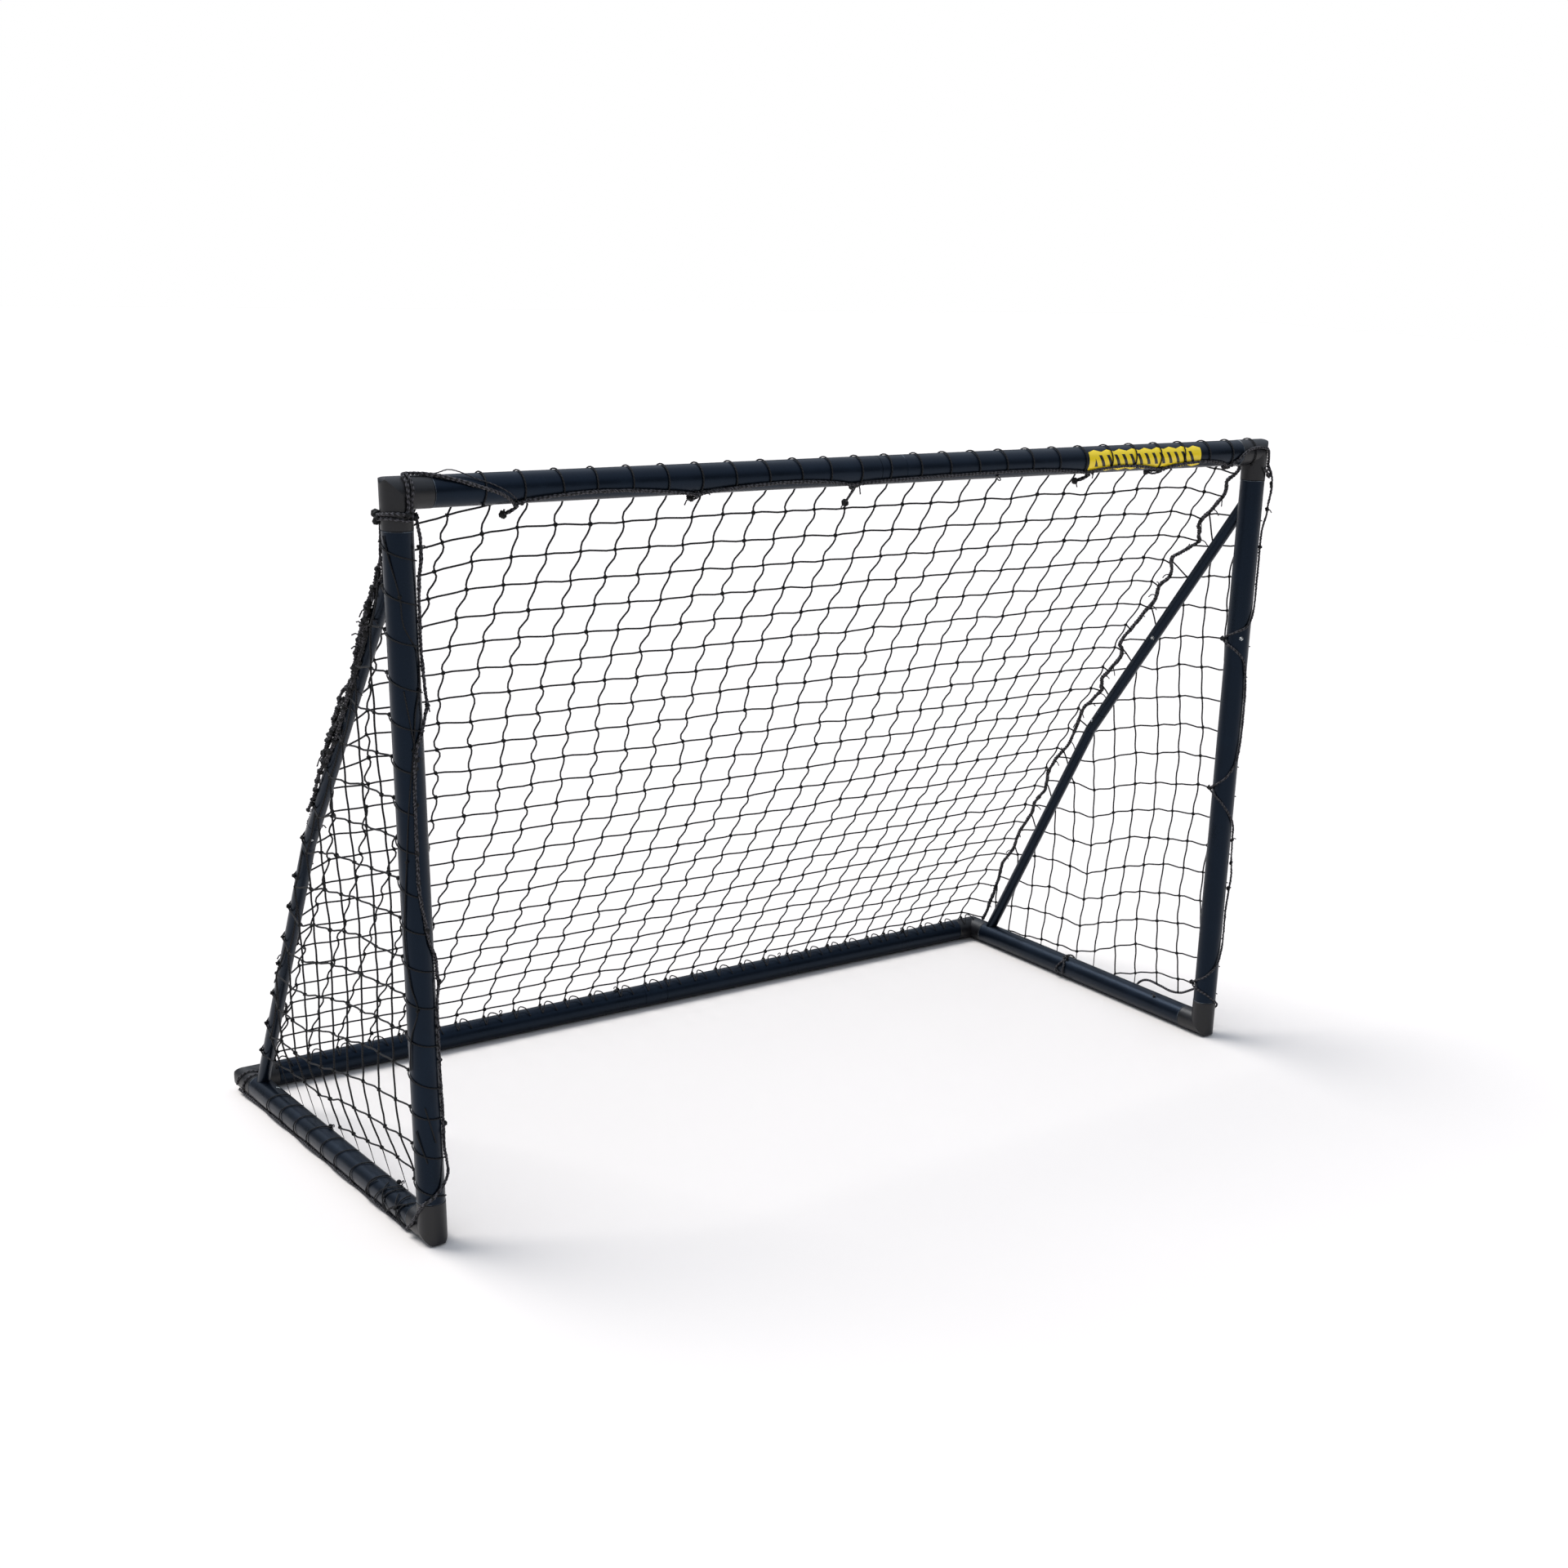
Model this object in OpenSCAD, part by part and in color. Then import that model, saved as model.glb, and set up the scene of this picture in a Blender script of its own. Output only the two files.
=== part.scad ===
// Garden football goal: round plastic pipe frame, plug-in corners, two braced side struts,
// spring-button pole joints and a knotted net on hooks.
// Origin: centre of the ground footprint. +X along the goal line, +Y to the back, +Z up.

/* [Goal] */
// Width between the post centre lines
goal_w = 2580; // [1600:10:3600]
// Height of the crossbar's centre line above the ground bars' centre line
goal_h = 1705; // [1200:5:2400]
// Depth from the posts' centre line to the back bar's centre line
goal_d = 1120; // [800:10:1800]

/* [Pipe] */
// Outer diameter of the frame pipe
pipe_od = 68; // [55:1:80]
// Wall of the frame pipe
pipe_wall = 2.2; // [1.8:0.1:3]
// Radial clearance of a spigot inside its pipe
spigot_fit = 0.2; // [0.1:0.05:0.4]
// Chamfer on every pipe end
end_chamfer = 1.2; // [0.5:0.1:1.5]

/* [Corners] */
// How far a corner's skin stands proud of the pipe
elbow_proud = 0.7; // [0.3:0.1:2]
// Length of a corner leg from where the two legs' centre lines cross
elbow_leg = 75; // [60:1:100]
// Rounding of the corner's outer edge
elbow_round = 15; // [6:1:22]
// Wall of the spigots
spigot_wall = 2.6; // [2:0.1:4]
// Length of each spigot
spigot_len = 45; // [35:1:50]

/* [Pole joints] */
// Length of the visible sleeve of a pole joint
band_len = 76; // [60:1:100]
// Solid stretch at the foot of the sleeve, below the tongue
band_floor = 14; // [10:1:18]
// Wall of the sleeve of a frame bar's joint
bar_band_wall = 4.8; // [4:0.1:6]
// Wall of the sleeve of a strut's joint
strut_band_wall = 3.8; // [3:0.1:4.5]
// Wall of the tongue that slides in the sleeve
tongue_wall = 3; // [2.5:0.1:4]
// Radial clearance of the tongue in the sleeve
tongue_fit = 0.2; // [0.1:0.05:0.4]

/* [Spring buttons] */
// Diameter of the lock button
button_d = 8; // [6:0.5:10]
// Radial clearance of the button in its hole
button_fit = 0.1; // [0.05:0.05:0.2]
// How far the button stands above its recess
button_proud = 2.5; // [1.5:0.1:4]
// Diameter of the finger recess round the button
recess_d = 16; // [14:0.5:20]
// Depth of the finger recess
recess_depth = 0.8; // [0.4:0.1:1.2]
// Thickness of the leaf spring
spring_t = 0.8; // [0.5:0.1:1.2]
// Width of the leaf spring
spring_w = 6; // [5:0.5:8]

/* [Struts] */
// Outer diameter of a strut pole
strut_od = 34; // [28:1:38]
// Wall of a strut pole
strut_wall = 1.8; // [1.5:0.1:2.5]
// Radial clearance of a strut end in its hole
strut_fit = 0.3; // [0.2:0.05:0.5]
// Drop from the crossbar's centre line to where the strut meets the post
strut_drop = 160; // [150:1:220]
// Distance from the back bar's centre line to where the strut meets the ground bar
strut_inset = 105; // [102:1:160]
// How far the joint bows out behind the straight line between the strut's ends
strut_bow = 60; // [0:1:90]

/* [Net] */
// Thickness of the net panels' envelope
net_t = 3; // [2:0.5:6]
// Gap between the net and the frame
net_gap = 0.3; // [0.2:0.1:1]
// Diameter of the border rope
rope_d = 7; // [5:0.5:10]

/* [Net hooks] */
// Diameter of a hook's stem
hook_stem_d = 5; // [4:0.5:6]
// Radial clearance of the stem in its hole
hook_fit = 0.1; // [0.05:0.05:0.2]
// Diameter of a hook's flange
hook_flange_d = 11; // [9:0.5:14]
// Thickness of the hook's wire
hook_wire_d = 3; // [2.5:0.1:4]

/* [Stickers] */
// Distance from the goal's middle to the near end of the yellow sticker
patch_start = 636; // [300:1:700]
// Length of the yellow sticker
patch_len = 408; // [200:1:420]
// Height of the yellow sticker, seen from the front
patch_h = 54; // [40:1:60]
// Thickness of the stickers
sticker_t = 0.3; // [0.2:0.05:0.5]
// Diameter of the small white assembly dots
dot_d = 12; // [8:0.5:16]

/* [Hidden] */
$fn = 64;

navy = "#1c2430";
charcoal = "#302f33";
black = "#15161a";
steel = "#b9bcc0";
left = -1;
right = 1;

pipe_r = pipe_od / 2;
elbow_r = pipe_r + elbow_proud;
spigot_r = pipe_r - pipe_wall - spigot_fit;
bore_r = spigot_r - spigot_wall;
ground_z = elbow_r;               // centre line of the ground bars: the corners touch the ground
top_z = ground_z + goal_h;        // centre line of the crossbar
post_x = goal_w / 2;
strut_r = strut_od / 2;

// Pole joint sizes: outer radius, radius of the spigots, radius of the tongue, radius of the bore
bar_tongue_r = pipe_r - bar_band_wall - tongue_fit;
bar_joint = [pipe_r, spigot_r, bar_tongue_r, bar_tongue_r - tongue_wall];
strut_spigot_r = strut_r - strut_wall - spigot_fit;
strut_tongue_r = strut_r - strut_band_wall - tongue_fit;
strut_joint = [strut_r, strut_spigot_r, strut_tongue_r, strut_tongue_r - tongue_wall];
flange_t = 2;
flange_r = button_d / 2 + 1.5;
flange_gap = 0.2;

// How far from the joint's centre line the flange's outer face lies, with its rim clear of the bore
function flange_face(joint) = sqrt(pow(joint[3] - flange_gap, 2) - pow(flange_r, 2));

button_z = band_len / 2;

// Strut: where it meets the post and the ground bar, and the knee where its two poles meet
strut_top = [0, pipe_r, top_z - strut_drop];
strut_foot = [0, goal_d - strut_inset, ground_z + pipe_r];
strut_line = strut_foot - strut_top;
strut_unit = strut_line / norm(strut_line);
strut_out = [0, -strut_unit.z, strut_unit.y];       // square to the line, up and back
joint_share = 0.515;                                // share of the line where the knee lies
strut_knee = strut_top + joint_share * strut_line + strut_bow * strut_out;
upper_dir = (strut_top - strut_knee) / norm(strut_top - strut_knee);
lower_dir = (strut_foot - strut_knee) / norm(strut_foot - strut_knee);
knee_turn = acos(-upper_dir * lower_dir);
knee_land = 2;                                      // from the knee to the lower pole's end
roll_left = -21;                                    // button directions round the poles
roll_right = -106;
bar_roll = 65;                                      // turns the bar joints' buttons back and down

// Net: the plane over the crossbar's and the back bar's upper backs
slope = [goal_d, -goal_h] / norm([goal_d, -goal_h]);
net_normal = [-slope.y, slope.x];
net_offset = elbow_r + net_gap;
net_x = post_x + elbow_r + net_gap;
rope_r = rope_d / 2;
rope_seat = pipe_r + net_gap + rope_r;              // a rope's centre line from a pipe's

// Net hooks: stations along each bar, and the angle of each row round its bar
crossbar_hooks = [-1025, -565, -125, 335, 640, 900, 1160];
post_hooks = [170, 780, 1220];
side_hooks = [200, 610];
back_bar_hooks = [-1000, -520, -130, 480, 980];
crossbar_hook_turn = 50;                            // below straight forward
post_hook_turn = 40;                                // behind straight inward
side_hook_turn = 30;                                // inward of straight up

// Turns +Z to a direction
module aim(dir) {
  rotate([0, acos(dir.z / norm(dir)), atan2(dir.y, dir.x)]) children();
}

// Stands a child at p with its +Z towards q
module stand(p, q) {
  translate(p) aim(q - p) children();
}

// Shifts from the goal's own layout, with the posts on y = 0, to the footprint's centre
module place() {
  translate([0, -goal_d / 2, 0]) children();
}

// A straight tube up +Z with chamfered rims
module tube(r, wall, len) {
  rotate_extrude()
    polygon([[r - wall, 0], [r - end_chamfer, 0], [r, end_chamfer], [r, len - end_chamfer],
             [r - end_chamfer, len], [r - wall, len]]);
}

module pipe(p, q) {
  stand(p, q) tube(pipe_r, pipe_wall, norm(q - p));
}

// Net hook on the surface of a pipe whose centre line is the origin and whose outside is +Z
module hook() {
  eye_r = 4.5;
  neck = 3;
  flange_h = 1.6;
  inside = 4;
  seat = pipe_r + 0.2;
  translate([0, 0, pipe_r - pipe_wall - inside]) cylinder(d = hook_stem_d, h = pipe_wall + inside + 1);
  translate([0, 0, seat]) cylinder(d = hook_flange_d, h = flange_h);
  translate([0, 0, seat]) cylinder(d = hook_wire_d, h = flange_h + neck);
  translate([0, 0, seat + flange_h + neck + eye_r - 0.5])
    rotate([90, 0, 0])
      rotate([0, 0, -110])
        rotate_extrude(angle = 300) translate([eye_r, 0]) circle(d = hook_wire_d);
}

module hook_hole() {
  translate([0, 0, pipe_r - pipe_wall - 3])
    cylinder(d = hook_stem_d + 2 * hook_fit, h = pipe_wall + 6);
}

// Children at every hook of one bar
module at_crossbar_hooks(from, to) {
  for (x = crossbar_hooks)
    if (x > from && x < to)
      translate([x, 0, top_z]) rotate([90 + crossbar_hook_turn, 0, 0]) children();
}

module at_post_hooks(side) {
  for (z = post_hooks)
    translate([side * post_x, 0, z])
      aim([-side * cos(post_hook_turn), sin(post_hook_turn), 0]) children();
}

module at_side_hooks(side) {
  for (y = side_hooks)
    translate([side * post_x, y, ground_z])
      aim([-side * sin(side_hook_turn), 0, cos(side_hook_turn)]) rotate([0, 0, 90]) children();
}

module at_back_bar_hooks(from, to) {
  for (x = back_bar_hooks)
    if (x > from && x < to) translate([x, goal_d, ground_z]) children();
}

// ---- strut geometry on one side of the goal
module at_knee(side) {
  translate([side * post_x, 0, 0] + strut_knee) aim(upper_dir) children();
}

// The hole that a strut's end passes through, at its top or at its foot
module strut_top_hole(side) {
  reach = pipe_od;
  translate([side * post_x, 0, 0] + strut_top - upper_dir * reach / 2)
    aim(upper_dir) cylinder(r = strut_r + strut_fit, h = reach);
}

module strut_foot_hole(side) {
  reach = 50;
  translate([side * post_x, 0, 0] + strut_foot - lower_dir * reach / 2)
    aim(lower_dir) cylinder(r = strut_r + strut_fit, h = reach);
}

// ---- frame pipes
module post(side) {
  color(navy) place() difference() {
    pipe([side * post_x, 0, ground_z + elbow_leg], [side * post_x, 0, top_z - elbow_leg]);
    strut_top_hole(side);
    at_post_hooks(side) hook_hole();
  }
}

module crossbar_half(side) {
  inner = side * band_len / 2;
  outer = side * (post_x - elbow_leg);
  color(navy) place() difference() {
    pipe([inner, 0, top_z], [outer, 0, top_z]);
    at_crossbar_hooks(min(inner, outer), max(inner, outer)) hook_hole();
  }
}

module side_bar(side) {
  color(navy) place() difference() {
    pipe([side * post_x, elbow_leg, ground_z], [side * post_x, goal_d - elbow_leg, ground_z]);
    strut_foot_hole(side);
    at_side_hooks(side) hook_hole();
  }
}

module back_bar_half(side) {
  inner = side * band_len / 2;
  outer = side * (post_x - elbow_leg);
  color(navy) place() difference() {
    pipe([inner, goal_d, ground_z], [outer, goal_d, ground_z]);
    at_back_bar_hooks(min(inner, outer), max(inner, outer)) hook_hole();
  }
}

// ---- corners. The two legs run along +X and -Z from the crossing of their centre lines
module elbow_leg_solid() {
  rotate_extrude()
    polygon([[0, 0], [elbow_r, 0], [elbow_r, elbow_leg - end_chamfer],
             [elbow_r - end_chamfer, elbow_leg], [spigot_r, elbow_leg],
             [spigot_r, elbow_leg + spigot_len - end_chamfer],
             [spigot_r - end_chamfer, elbow_leg + spigot_len], [0, elbow_leg + spigot_len]]);
}

module elbow_corner_outline() {
  translate([-elbow_r, 0]) square([elbow_r, elbow_r - elbow_round]);
  translate([-elbow_r + elbow_round, 0]) square([elbow_r - elbow_round, elbow_r]);
  translate([-elbow_r + elbow_round, elbow_r - elbow_round]) circle(r = elbow_round);
}

module elbow() {
  reach = elbow_leg + spigot_len + 1;
  difference() {
    union() {
      rotate([0, 90, 0]) elbow_leg_solid();
      rotate([180, 0, 0]) elbow_leg_solid();
      intersection() {
        translate([-elbow_r, 0, 0]) rotate([0, 90, 0]) cylinder(r = elbow_r, h = elbow_r);
        cylinder(r = elbow_r, h = elbow_r);
        translate([0, elbow_r, 0]) rotate([90, 0, 0])
          linear_extrude(2 * elbow_r) elbow_corner_outline();
      }
    }
    rotate([0, 90, 0]) cylinder(r = bore_r, h = reach);
    rotate([180, 0, 0]) cylinder(r = bore_r, h = reach);
    sphere(r = bore_r);
  }
}

module elbow_top(side) {
  color(charcoal) place() translate([side * post_x, 0, top_z])
    mirror([side > 0 ? 1 : 0, 0, 0]) elbow();
}

module elbow_front(side) {
  color(charcoal) place() translate([side * post_x, 0, ground_z])
    mirror([0, 0, 1]) rotate([0, 0, 90]) elbow();
}

module elbow_back(side) {
  color(charcoal) place() difference() {
    translate([side * post_x, goal_d, ground_z])
      mirror([side > 0 ? 1 : 0, 0, 0]) rotate([-90, 0, 0]) elbow();
    strut_foot_hole(side);
  }
}

// ---- pole joints. +Z runs up the sleeve and the tongue, from the foot of the sleeve
module button_bore(joint, roll) {
  rotate([0, 0, roll]) translate([joint[3] - 2, 0, button_z])
    rotate([0, 90, 0]) cylinder(d = button_d + 2 * button_fit, h = joint[0] - joint[3] + 4);
}

module plug(joint, roll) {
  gap = 0.5;
  foot = band_floor + gap;
  difference() {
    rotate_extrude()
      polygon([[joint[3], foot], [joint[2] - end_chamfer, foot], [joint[2], foot + end_chamfer],
               [joint[2], band_len], [joint[1], band_len],
               [joint[1], band_len + spigot_len - end_chamfer],
               [joint[1] - end_chamfer, band_len + spigot_len],
               [joint[3], band_len + spigot_len]]);
    button_bore(joint, roll);
  }
}

// The lower pole leaves at a turn to the sleeve. The sleeve's foot is cut square to that pole
module socket(joint, turn, land, roll) {
  step = 1;                       // between the two bores
  below = 10;
  far = 100;
  difference() {
    union() {
      intersection() {
        rotate_extrude()
          polygon([[0, -below], [joint[0], -below], [joint[0], band_len - end_chamfer],
                   [joint[0] - end_chamfer, band_len], [0, band_len]]);
        rotate([0, -turn, 0]) mirror([0, 0, 1])
          translate([0, 0, -far]) cylinder(r = far, h = far + land);
      }
      rotate([0, -turn, 0]) mirror([0, 0, 1]) cylinder(r = joint[1], h = land + spigot_len);
    }
    translate([0, 0, band_floor]) cylinder(r = joint[2] + tongue_fit, h = band_len);
    cylinder(r = joint[3], h = band_len);
    rotate([0, -turn, 0]) mirror([0, 0, 1])
      translate([0, 0, -step * 4]) cylinder(r = joint[3] - step, h = spigot_len + below);
    button_bore(joint, roll);
    rotate([0, 0, roll]) translate([joint[0] - recess_depth, 0, button_z])
      rotate([0, 90, 0]) cylinder(d = recess_d, h = below);
  }
}

// Button on +X, with the flange that keeps it in the tongue
module button(joint, roll) {
  top = joint[0] - recess_depth + button_proud;
  face = flange_face(joint);
  round_r = 1;
  dimple_r = 1.6;
  dimple_depth = 1;
  rotate([0, 0, roll]) translate([0, 0, button_z]) rotate([0, 90, 0])
    rotate_extrude()
      polygon([[0, face - flange_t], [flange_r, face - flange_t], [flange_r, face],
               [button_d / 2, face],
               [button_d / 2, top - round_r], [button_d / 2 - round_r, top], [dimple_r, top],
               [dimple_r - 0.4, top - dimple_depth], [0, top - dimple_depth]]);
}

// A straight strip between two points, as the flat outline of a bent leaf
module strip(p, q, t) {
  along = (q - p) / norm(q - p);
  off = [-along.y, along.x] * t / 2;
  polygon([p - off, q - off, q + off, p + off]);
}

// Hairpin leaf behind the button: the +X arm bears on the flange, the other on the bore's wall
module leaf_spring(joint, roll) {
  drop = 17;
  lip = 5;
  arm_x = flange_face(joint) - flange_t - 0.25 - spring_t / 2;
  wall_x = -sqrt(pow(joint[3], 2) - pow(spring_w / 2, 2)) + 0.25 + spring_t / 2;
  bend_r = min(4, 0.35 * (arm_x - wall_x));
  bend_x = (arm_x + wall_x) / 2;
  rotate([0, 0, roll]) translate([0, spring_w / 2, button_z]) rotate([90, 0, 0])
    linear_extrude(spring_w) {
      strip([bend_x + bend_r, -drop], [arm_x, 0], spring_t);
      strip([arm_x, -spring_t / 2], [arm_x, lip], spring_t);
      strip([bend_x - bend_r, -drop], [wall_x, 0], spring_t);
      strip([wall_x, -spring_t / 2], [wall_x, lip], spring_t);
      translate([bend_x, -drop]) difference() {
        circle(r = bend_r + spring_t / 2);
        circle(r = bend_r - spring_t / 2);
        translate([-2 * bend_r, 0.3]) square([4 * bend_r, 2 * bend_r]);
      }
    }
}

// Where each pole joint sits: sleeves on the left half of a bar, tongues on the right half
module at_bar_joint(y, z) {
  translate([-band_len / 2, y, z]) aim([1, 0, 0]) children();
}

module bar_joint_piece(y, z, piece) {
  place() at_bar_joint(y, z) {
    if (piece == "plug") color(navy) plug(bar_joint, bar_roll);
    if (piece == "socket") color(navy) socket(bar_joint, 0, 0, bar_roll);
    if (piece == "button") color(steel) button(bar_joint, bar_roll);
    if (piece == "spring") color(steel) leaf_spring(bar_joint, bar_roll);
  }
}

module strut_joint_piece(side, piece) {
  roll = side > 0 ? roll_right : roll_left;
  place() at_knee(side) {
    if (piece == "plug") color(navy) plug(strut_joint, roll);
    if (piece == "socket") color(navy) socket(strut_joint, knee_turn, knee_land, roll);
    if (piece == "button") color(steel) button(strut_joint, roll);
    if (piece == "spring") color(steel) leaf_spring(strut_joint, roll);
  }
}

// ---- strut poles. Each end goes far enough through its wall for the whole rim to be inside
module strut_upper(side) {
  deep = (pipe_wall + strut_r * upper_dir.z + 0.5) / -upper_dir.y;
  len = norm(strut_top - strut_knee) - band_len + deep;
  color(navy) place() at_knee(side)
    translate([0, 0, band_len]) tube(strut_r, strut_wall, len);
}

module strut_lower(side) {
  deep = (pipe_wall + strut_r * lower_dir.y + 0.5) / -lower_dir.z;
  from = [side * post_x, 0, 0] + strut_knee + knee_land * lower_dir;
  to = [side * post_x, 0, 0] + strut_foot + deep * lower_dir;
  color(navy) place() stand(from, to) tube(strut_r, strut_wall, norm(to - from));
}

// ---- net envelopes
module side_outline() {
  outer = net_offset + net_t;
  front = 2;
  top = [0, top_z] + outer * net_normal;
  back = [goal_d, ground_z] + outer * net_normal;
  polygon([[front, ground_z], [back.x, ground_z], back, top, [front, top.y]]);
}

module net_side(side) {
  color(black, 0.5) place()
    translate([side > 0 ? net_x : -net_x - net_t, 0, 0])
      rotate([90, 0, 90]) linear_extrude(net_t) side_outline();
}

module net_back() {
  half = post_x + elbow_r;
  inner_top = [0, top_z] + net_offset * net_normal;
  inner_back = [goal_d, ground_z] + net_offset * net_normal;
  color(black, 0.5) place() translate([-half, 0, 0]) rotate([90, 0, 90])
    linear_extrude(2 * half)
      polygon([inner_top, inner_back, inner_back + net_t * net_normal,
               inner_top + net_t * net_normal]);
}

// ---- border rope, one straight stretch along each bar
module rope(p, q) {
  color(black) place() stand(p, q) cylinder(r = rope_r, h = norm(q - p));
}

module rope_crossbar() {
  under = 70;                     // degrees below straight forward
  end_x = post_x - elbow_leg - 5;
  y = -rope_seat * cos(under);
  z = top_z - rope_seat * sin(under);
  rope([-end_x, y, z], [end_x, y, z]);
}

module rope_post(side) {
  diagonal = rope_seat * sqrt(0.5);
  x = side * post_x + diagonal;
  rope([x, -diagonal, ground_z + elbow_leg + 5], [x, -diagonal, top_z - elbow_leg - 5]);
}

module rope_side(side) {
  diagonal = rope_seat * sqrt(0.5);
  x = side * (post_x + diagonal);
  z = ground_z - diagonal;
  rope([x, elbow_leg + 5, z], [x, goal_d - elbow_leg - 5, z]);
}

module rope_back_bar() {
  diagonal = rope_seat * sqrt(0.5);
  end_x = post_x - elbow_leg - 5;
  y = goal_d + diagonal;
  z = ground_z - diagonal;
  rope([-end_x, y, z], [end_x, y, z]);
}

module seam_rope(side) {
  inset = net_offset - net_gap - rope_r;
  clear_top = 60;
  clear_foot = 110;
  run = norm([goal_d, goal_h]);
  start = [0, top_z] + inset * net_normal + clear_top * slope;
  end = [0, top_z] + inset * net_normal + (run - clear_foot) * slope;
  x = side * (net_x - net_gap - rope_r);
  rope([x, start.x, start.y], [x, end.x, end.y]);
}

// ---- stickers
module skin(r) {
  difference() {
    cylinder(r = r + 0.05 + sticker_t, h = 5000, center = true);
    cylinder(r = r + 0.05, h = 5002, center = true);
  }
}

module jagged_outline() {
  teeth = 9;
  step = patch_len / teeth;
  low = -patch_h / 2;
  high = patch_h / 2;
  bite = 5;
  top_edge = [for (i = [0 : 2 * teeth]) [patch_start + i * step / 2, high - (i % 2 == 0 ? bite : 0)]];
  low_edge = [for (i = [2 * teeth : -1 : 0]) [patch_start + i * step / 2, low + (i % 2 == 0 ? bite : 0)]];
  polygon(concat(top_edge, low_edge));
}

module yellow_sticker() {
  color("#f2d91f") place() intersection() {
    translate([0, 0, top_z]) rotate([0, 90, 0]) skin(pipe_r);
    translate([0, 0, top_z]) rotate([90, 0, 0]) linear_extrude(pipe_od) jagged_outline();
  }
}

// One dot on a pipe of radius r whose centre line is +Z, facing +X
module dot(r) {
  intersection() {
    skin(r);
    rotate([0, 90, 0]) cylinder(d = dot_d, h = 2 * r);
  }
}

module assembly_dots() {
  up_pole = 420;                  // from the knee, up the right strut
  beside_foot = 70;               // in front of each strut's foot
  post_dot_z = 1225;
  color("white") place() {
    at_knee(right) rotate([0, 0, -60]) translate([0, 0, up_pole]) dot(strut_r);
    translate([post_x, 0, post_dot_z]) rotate([0, 0, -120]) dot(pipe_r);
    for (side = [left, right])
      translate([side * post_x, strut_foot.y - beside_foot, ground_z])
        rotate([90, 0, 0]) rotate([0, 0, 70]) dot(pipe_r);
  }
}

post(left);  // post_left
post(right);  // post_right
crossbar_half(left);  // crossbar_left
crossbar_half(right);  // crossbar_right
side_bar(left);  // side_bar_left
side_bar(right);  // side_bar_right
back_bar_half(left);  // back_bar_left
back_bar_half(right);  // back_bar_right
elbow_top(left);  // elbow_top_left
elbow_top(right);  // elbow_top_right
elbow_front(left);  // elbow_front_left
elbow_front(right);  // elbow_front_right
elbow_back(left);  // elbow_back_left
elbow_back(right);  // elbow_back_right
bar_joint_piece(0, top_z, "plug");  // crossbar_plug
bar_joint_piece(0, top_z, "socket");  // crossbar_socket
bar_joint_piece(goal_d, ground_z, "plug");  // back_bar_plug
bar_joint_piece(goal_d, ground_z, "socket");  // back_bar_socket
strut_upper(left);  // strut_upper_left
strut_upper(right);  // strut_upper_right
strut_lower(left);  // strut_lower_left
strut_lower(right);  // strut_lower_right
strut_joint_piece(left, "plug");  // strut_plug_left
strut_joint_piece(right, "plug");  // strut_plug_right
strut_joint_piece(left, "socket");  // strut_socket_left
strut_joint_piece(right, "socket");  // strut_socket_right
bar_joint_piece(0, top_z, "button");  // button_crossbar
bar_joint_piece(goal_d, ground_z, "button");  // button_back_bar
strut_joint_piece(left, "button");  // button_strut_left
strut_joint_piece(right, "button");  // button_strut_right
bar_joint_piece(0, top_z, "spring");  // spring_crossbar
bar_joint_piece(goal_d, ground_z, "spring");  // spring_back_bar
strut_joint_piece(left, "spring");  // spring_strut_left
strut_joint_piece(right, "spring");  // spring_strut_right
color(black) place() at_crossbar_hooks(-post_x, post_x) hook();  // hooks_crossbar
color(black) place() at_post_hooks(left) hook();  // hooks_post_left
color(black) place() at_post_hooks(right) hook();  // hooks_post_right
color(black) place() at_side_hooks(left) hook();  // hooks_side_left
color(black) place() at_side_hooks(right) hook();  // hooks_side_right
color(black) place() at_back_bar_hooks(-post_x, post_x) hook();  // hooks_back_bar
net_back();
net_side(left);  // net_side_left
net_side(right);  // net_side_right
rope_crossbar();
rope_post(left);  // rope_post_left
rope_post(right);  // rope_post_right
rope_side(left);  // rope_side_left
rope_side(right);  // rope_side_right
rope_back_bar();
seam_rope(left);  // seam_rope_left
seam_rope(right);  // seam_rope_right
yellow_sticker();
assembly_dots();
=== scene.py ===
import math
import random

import bpy
from mathutils import Matrix, Vector


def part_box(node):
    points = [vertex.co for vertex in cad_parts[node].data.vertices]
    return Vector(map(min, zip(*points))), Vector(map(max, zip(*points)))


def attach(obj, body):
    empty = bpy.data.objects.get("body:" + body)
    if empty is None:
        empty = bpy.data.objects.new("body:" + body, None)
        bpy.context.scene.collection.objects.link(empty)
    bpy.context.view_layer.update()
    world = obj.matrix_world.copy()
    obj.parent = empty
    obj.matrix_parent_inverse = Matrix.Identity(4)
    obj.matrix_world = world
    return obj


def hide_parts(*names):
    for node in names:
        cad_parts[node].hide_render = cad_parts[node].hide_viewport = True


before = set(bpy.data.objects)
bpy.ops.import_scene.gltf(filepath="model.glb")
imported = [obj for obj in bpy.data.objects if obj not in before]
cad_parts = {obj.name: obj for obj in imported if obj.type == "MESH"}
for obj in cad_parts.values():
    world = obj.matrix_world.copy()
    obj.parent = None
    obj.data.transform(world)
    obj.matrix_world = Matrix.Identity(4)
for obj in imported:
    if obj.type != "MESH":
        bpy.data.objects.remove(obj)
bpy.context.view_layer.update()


def middle(node):  # centre and half size of one of the frame's nodes
    low, high = (Vector(corner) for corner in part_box(node))
    return (low + high) / 2, (high - low) / 2


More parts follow.
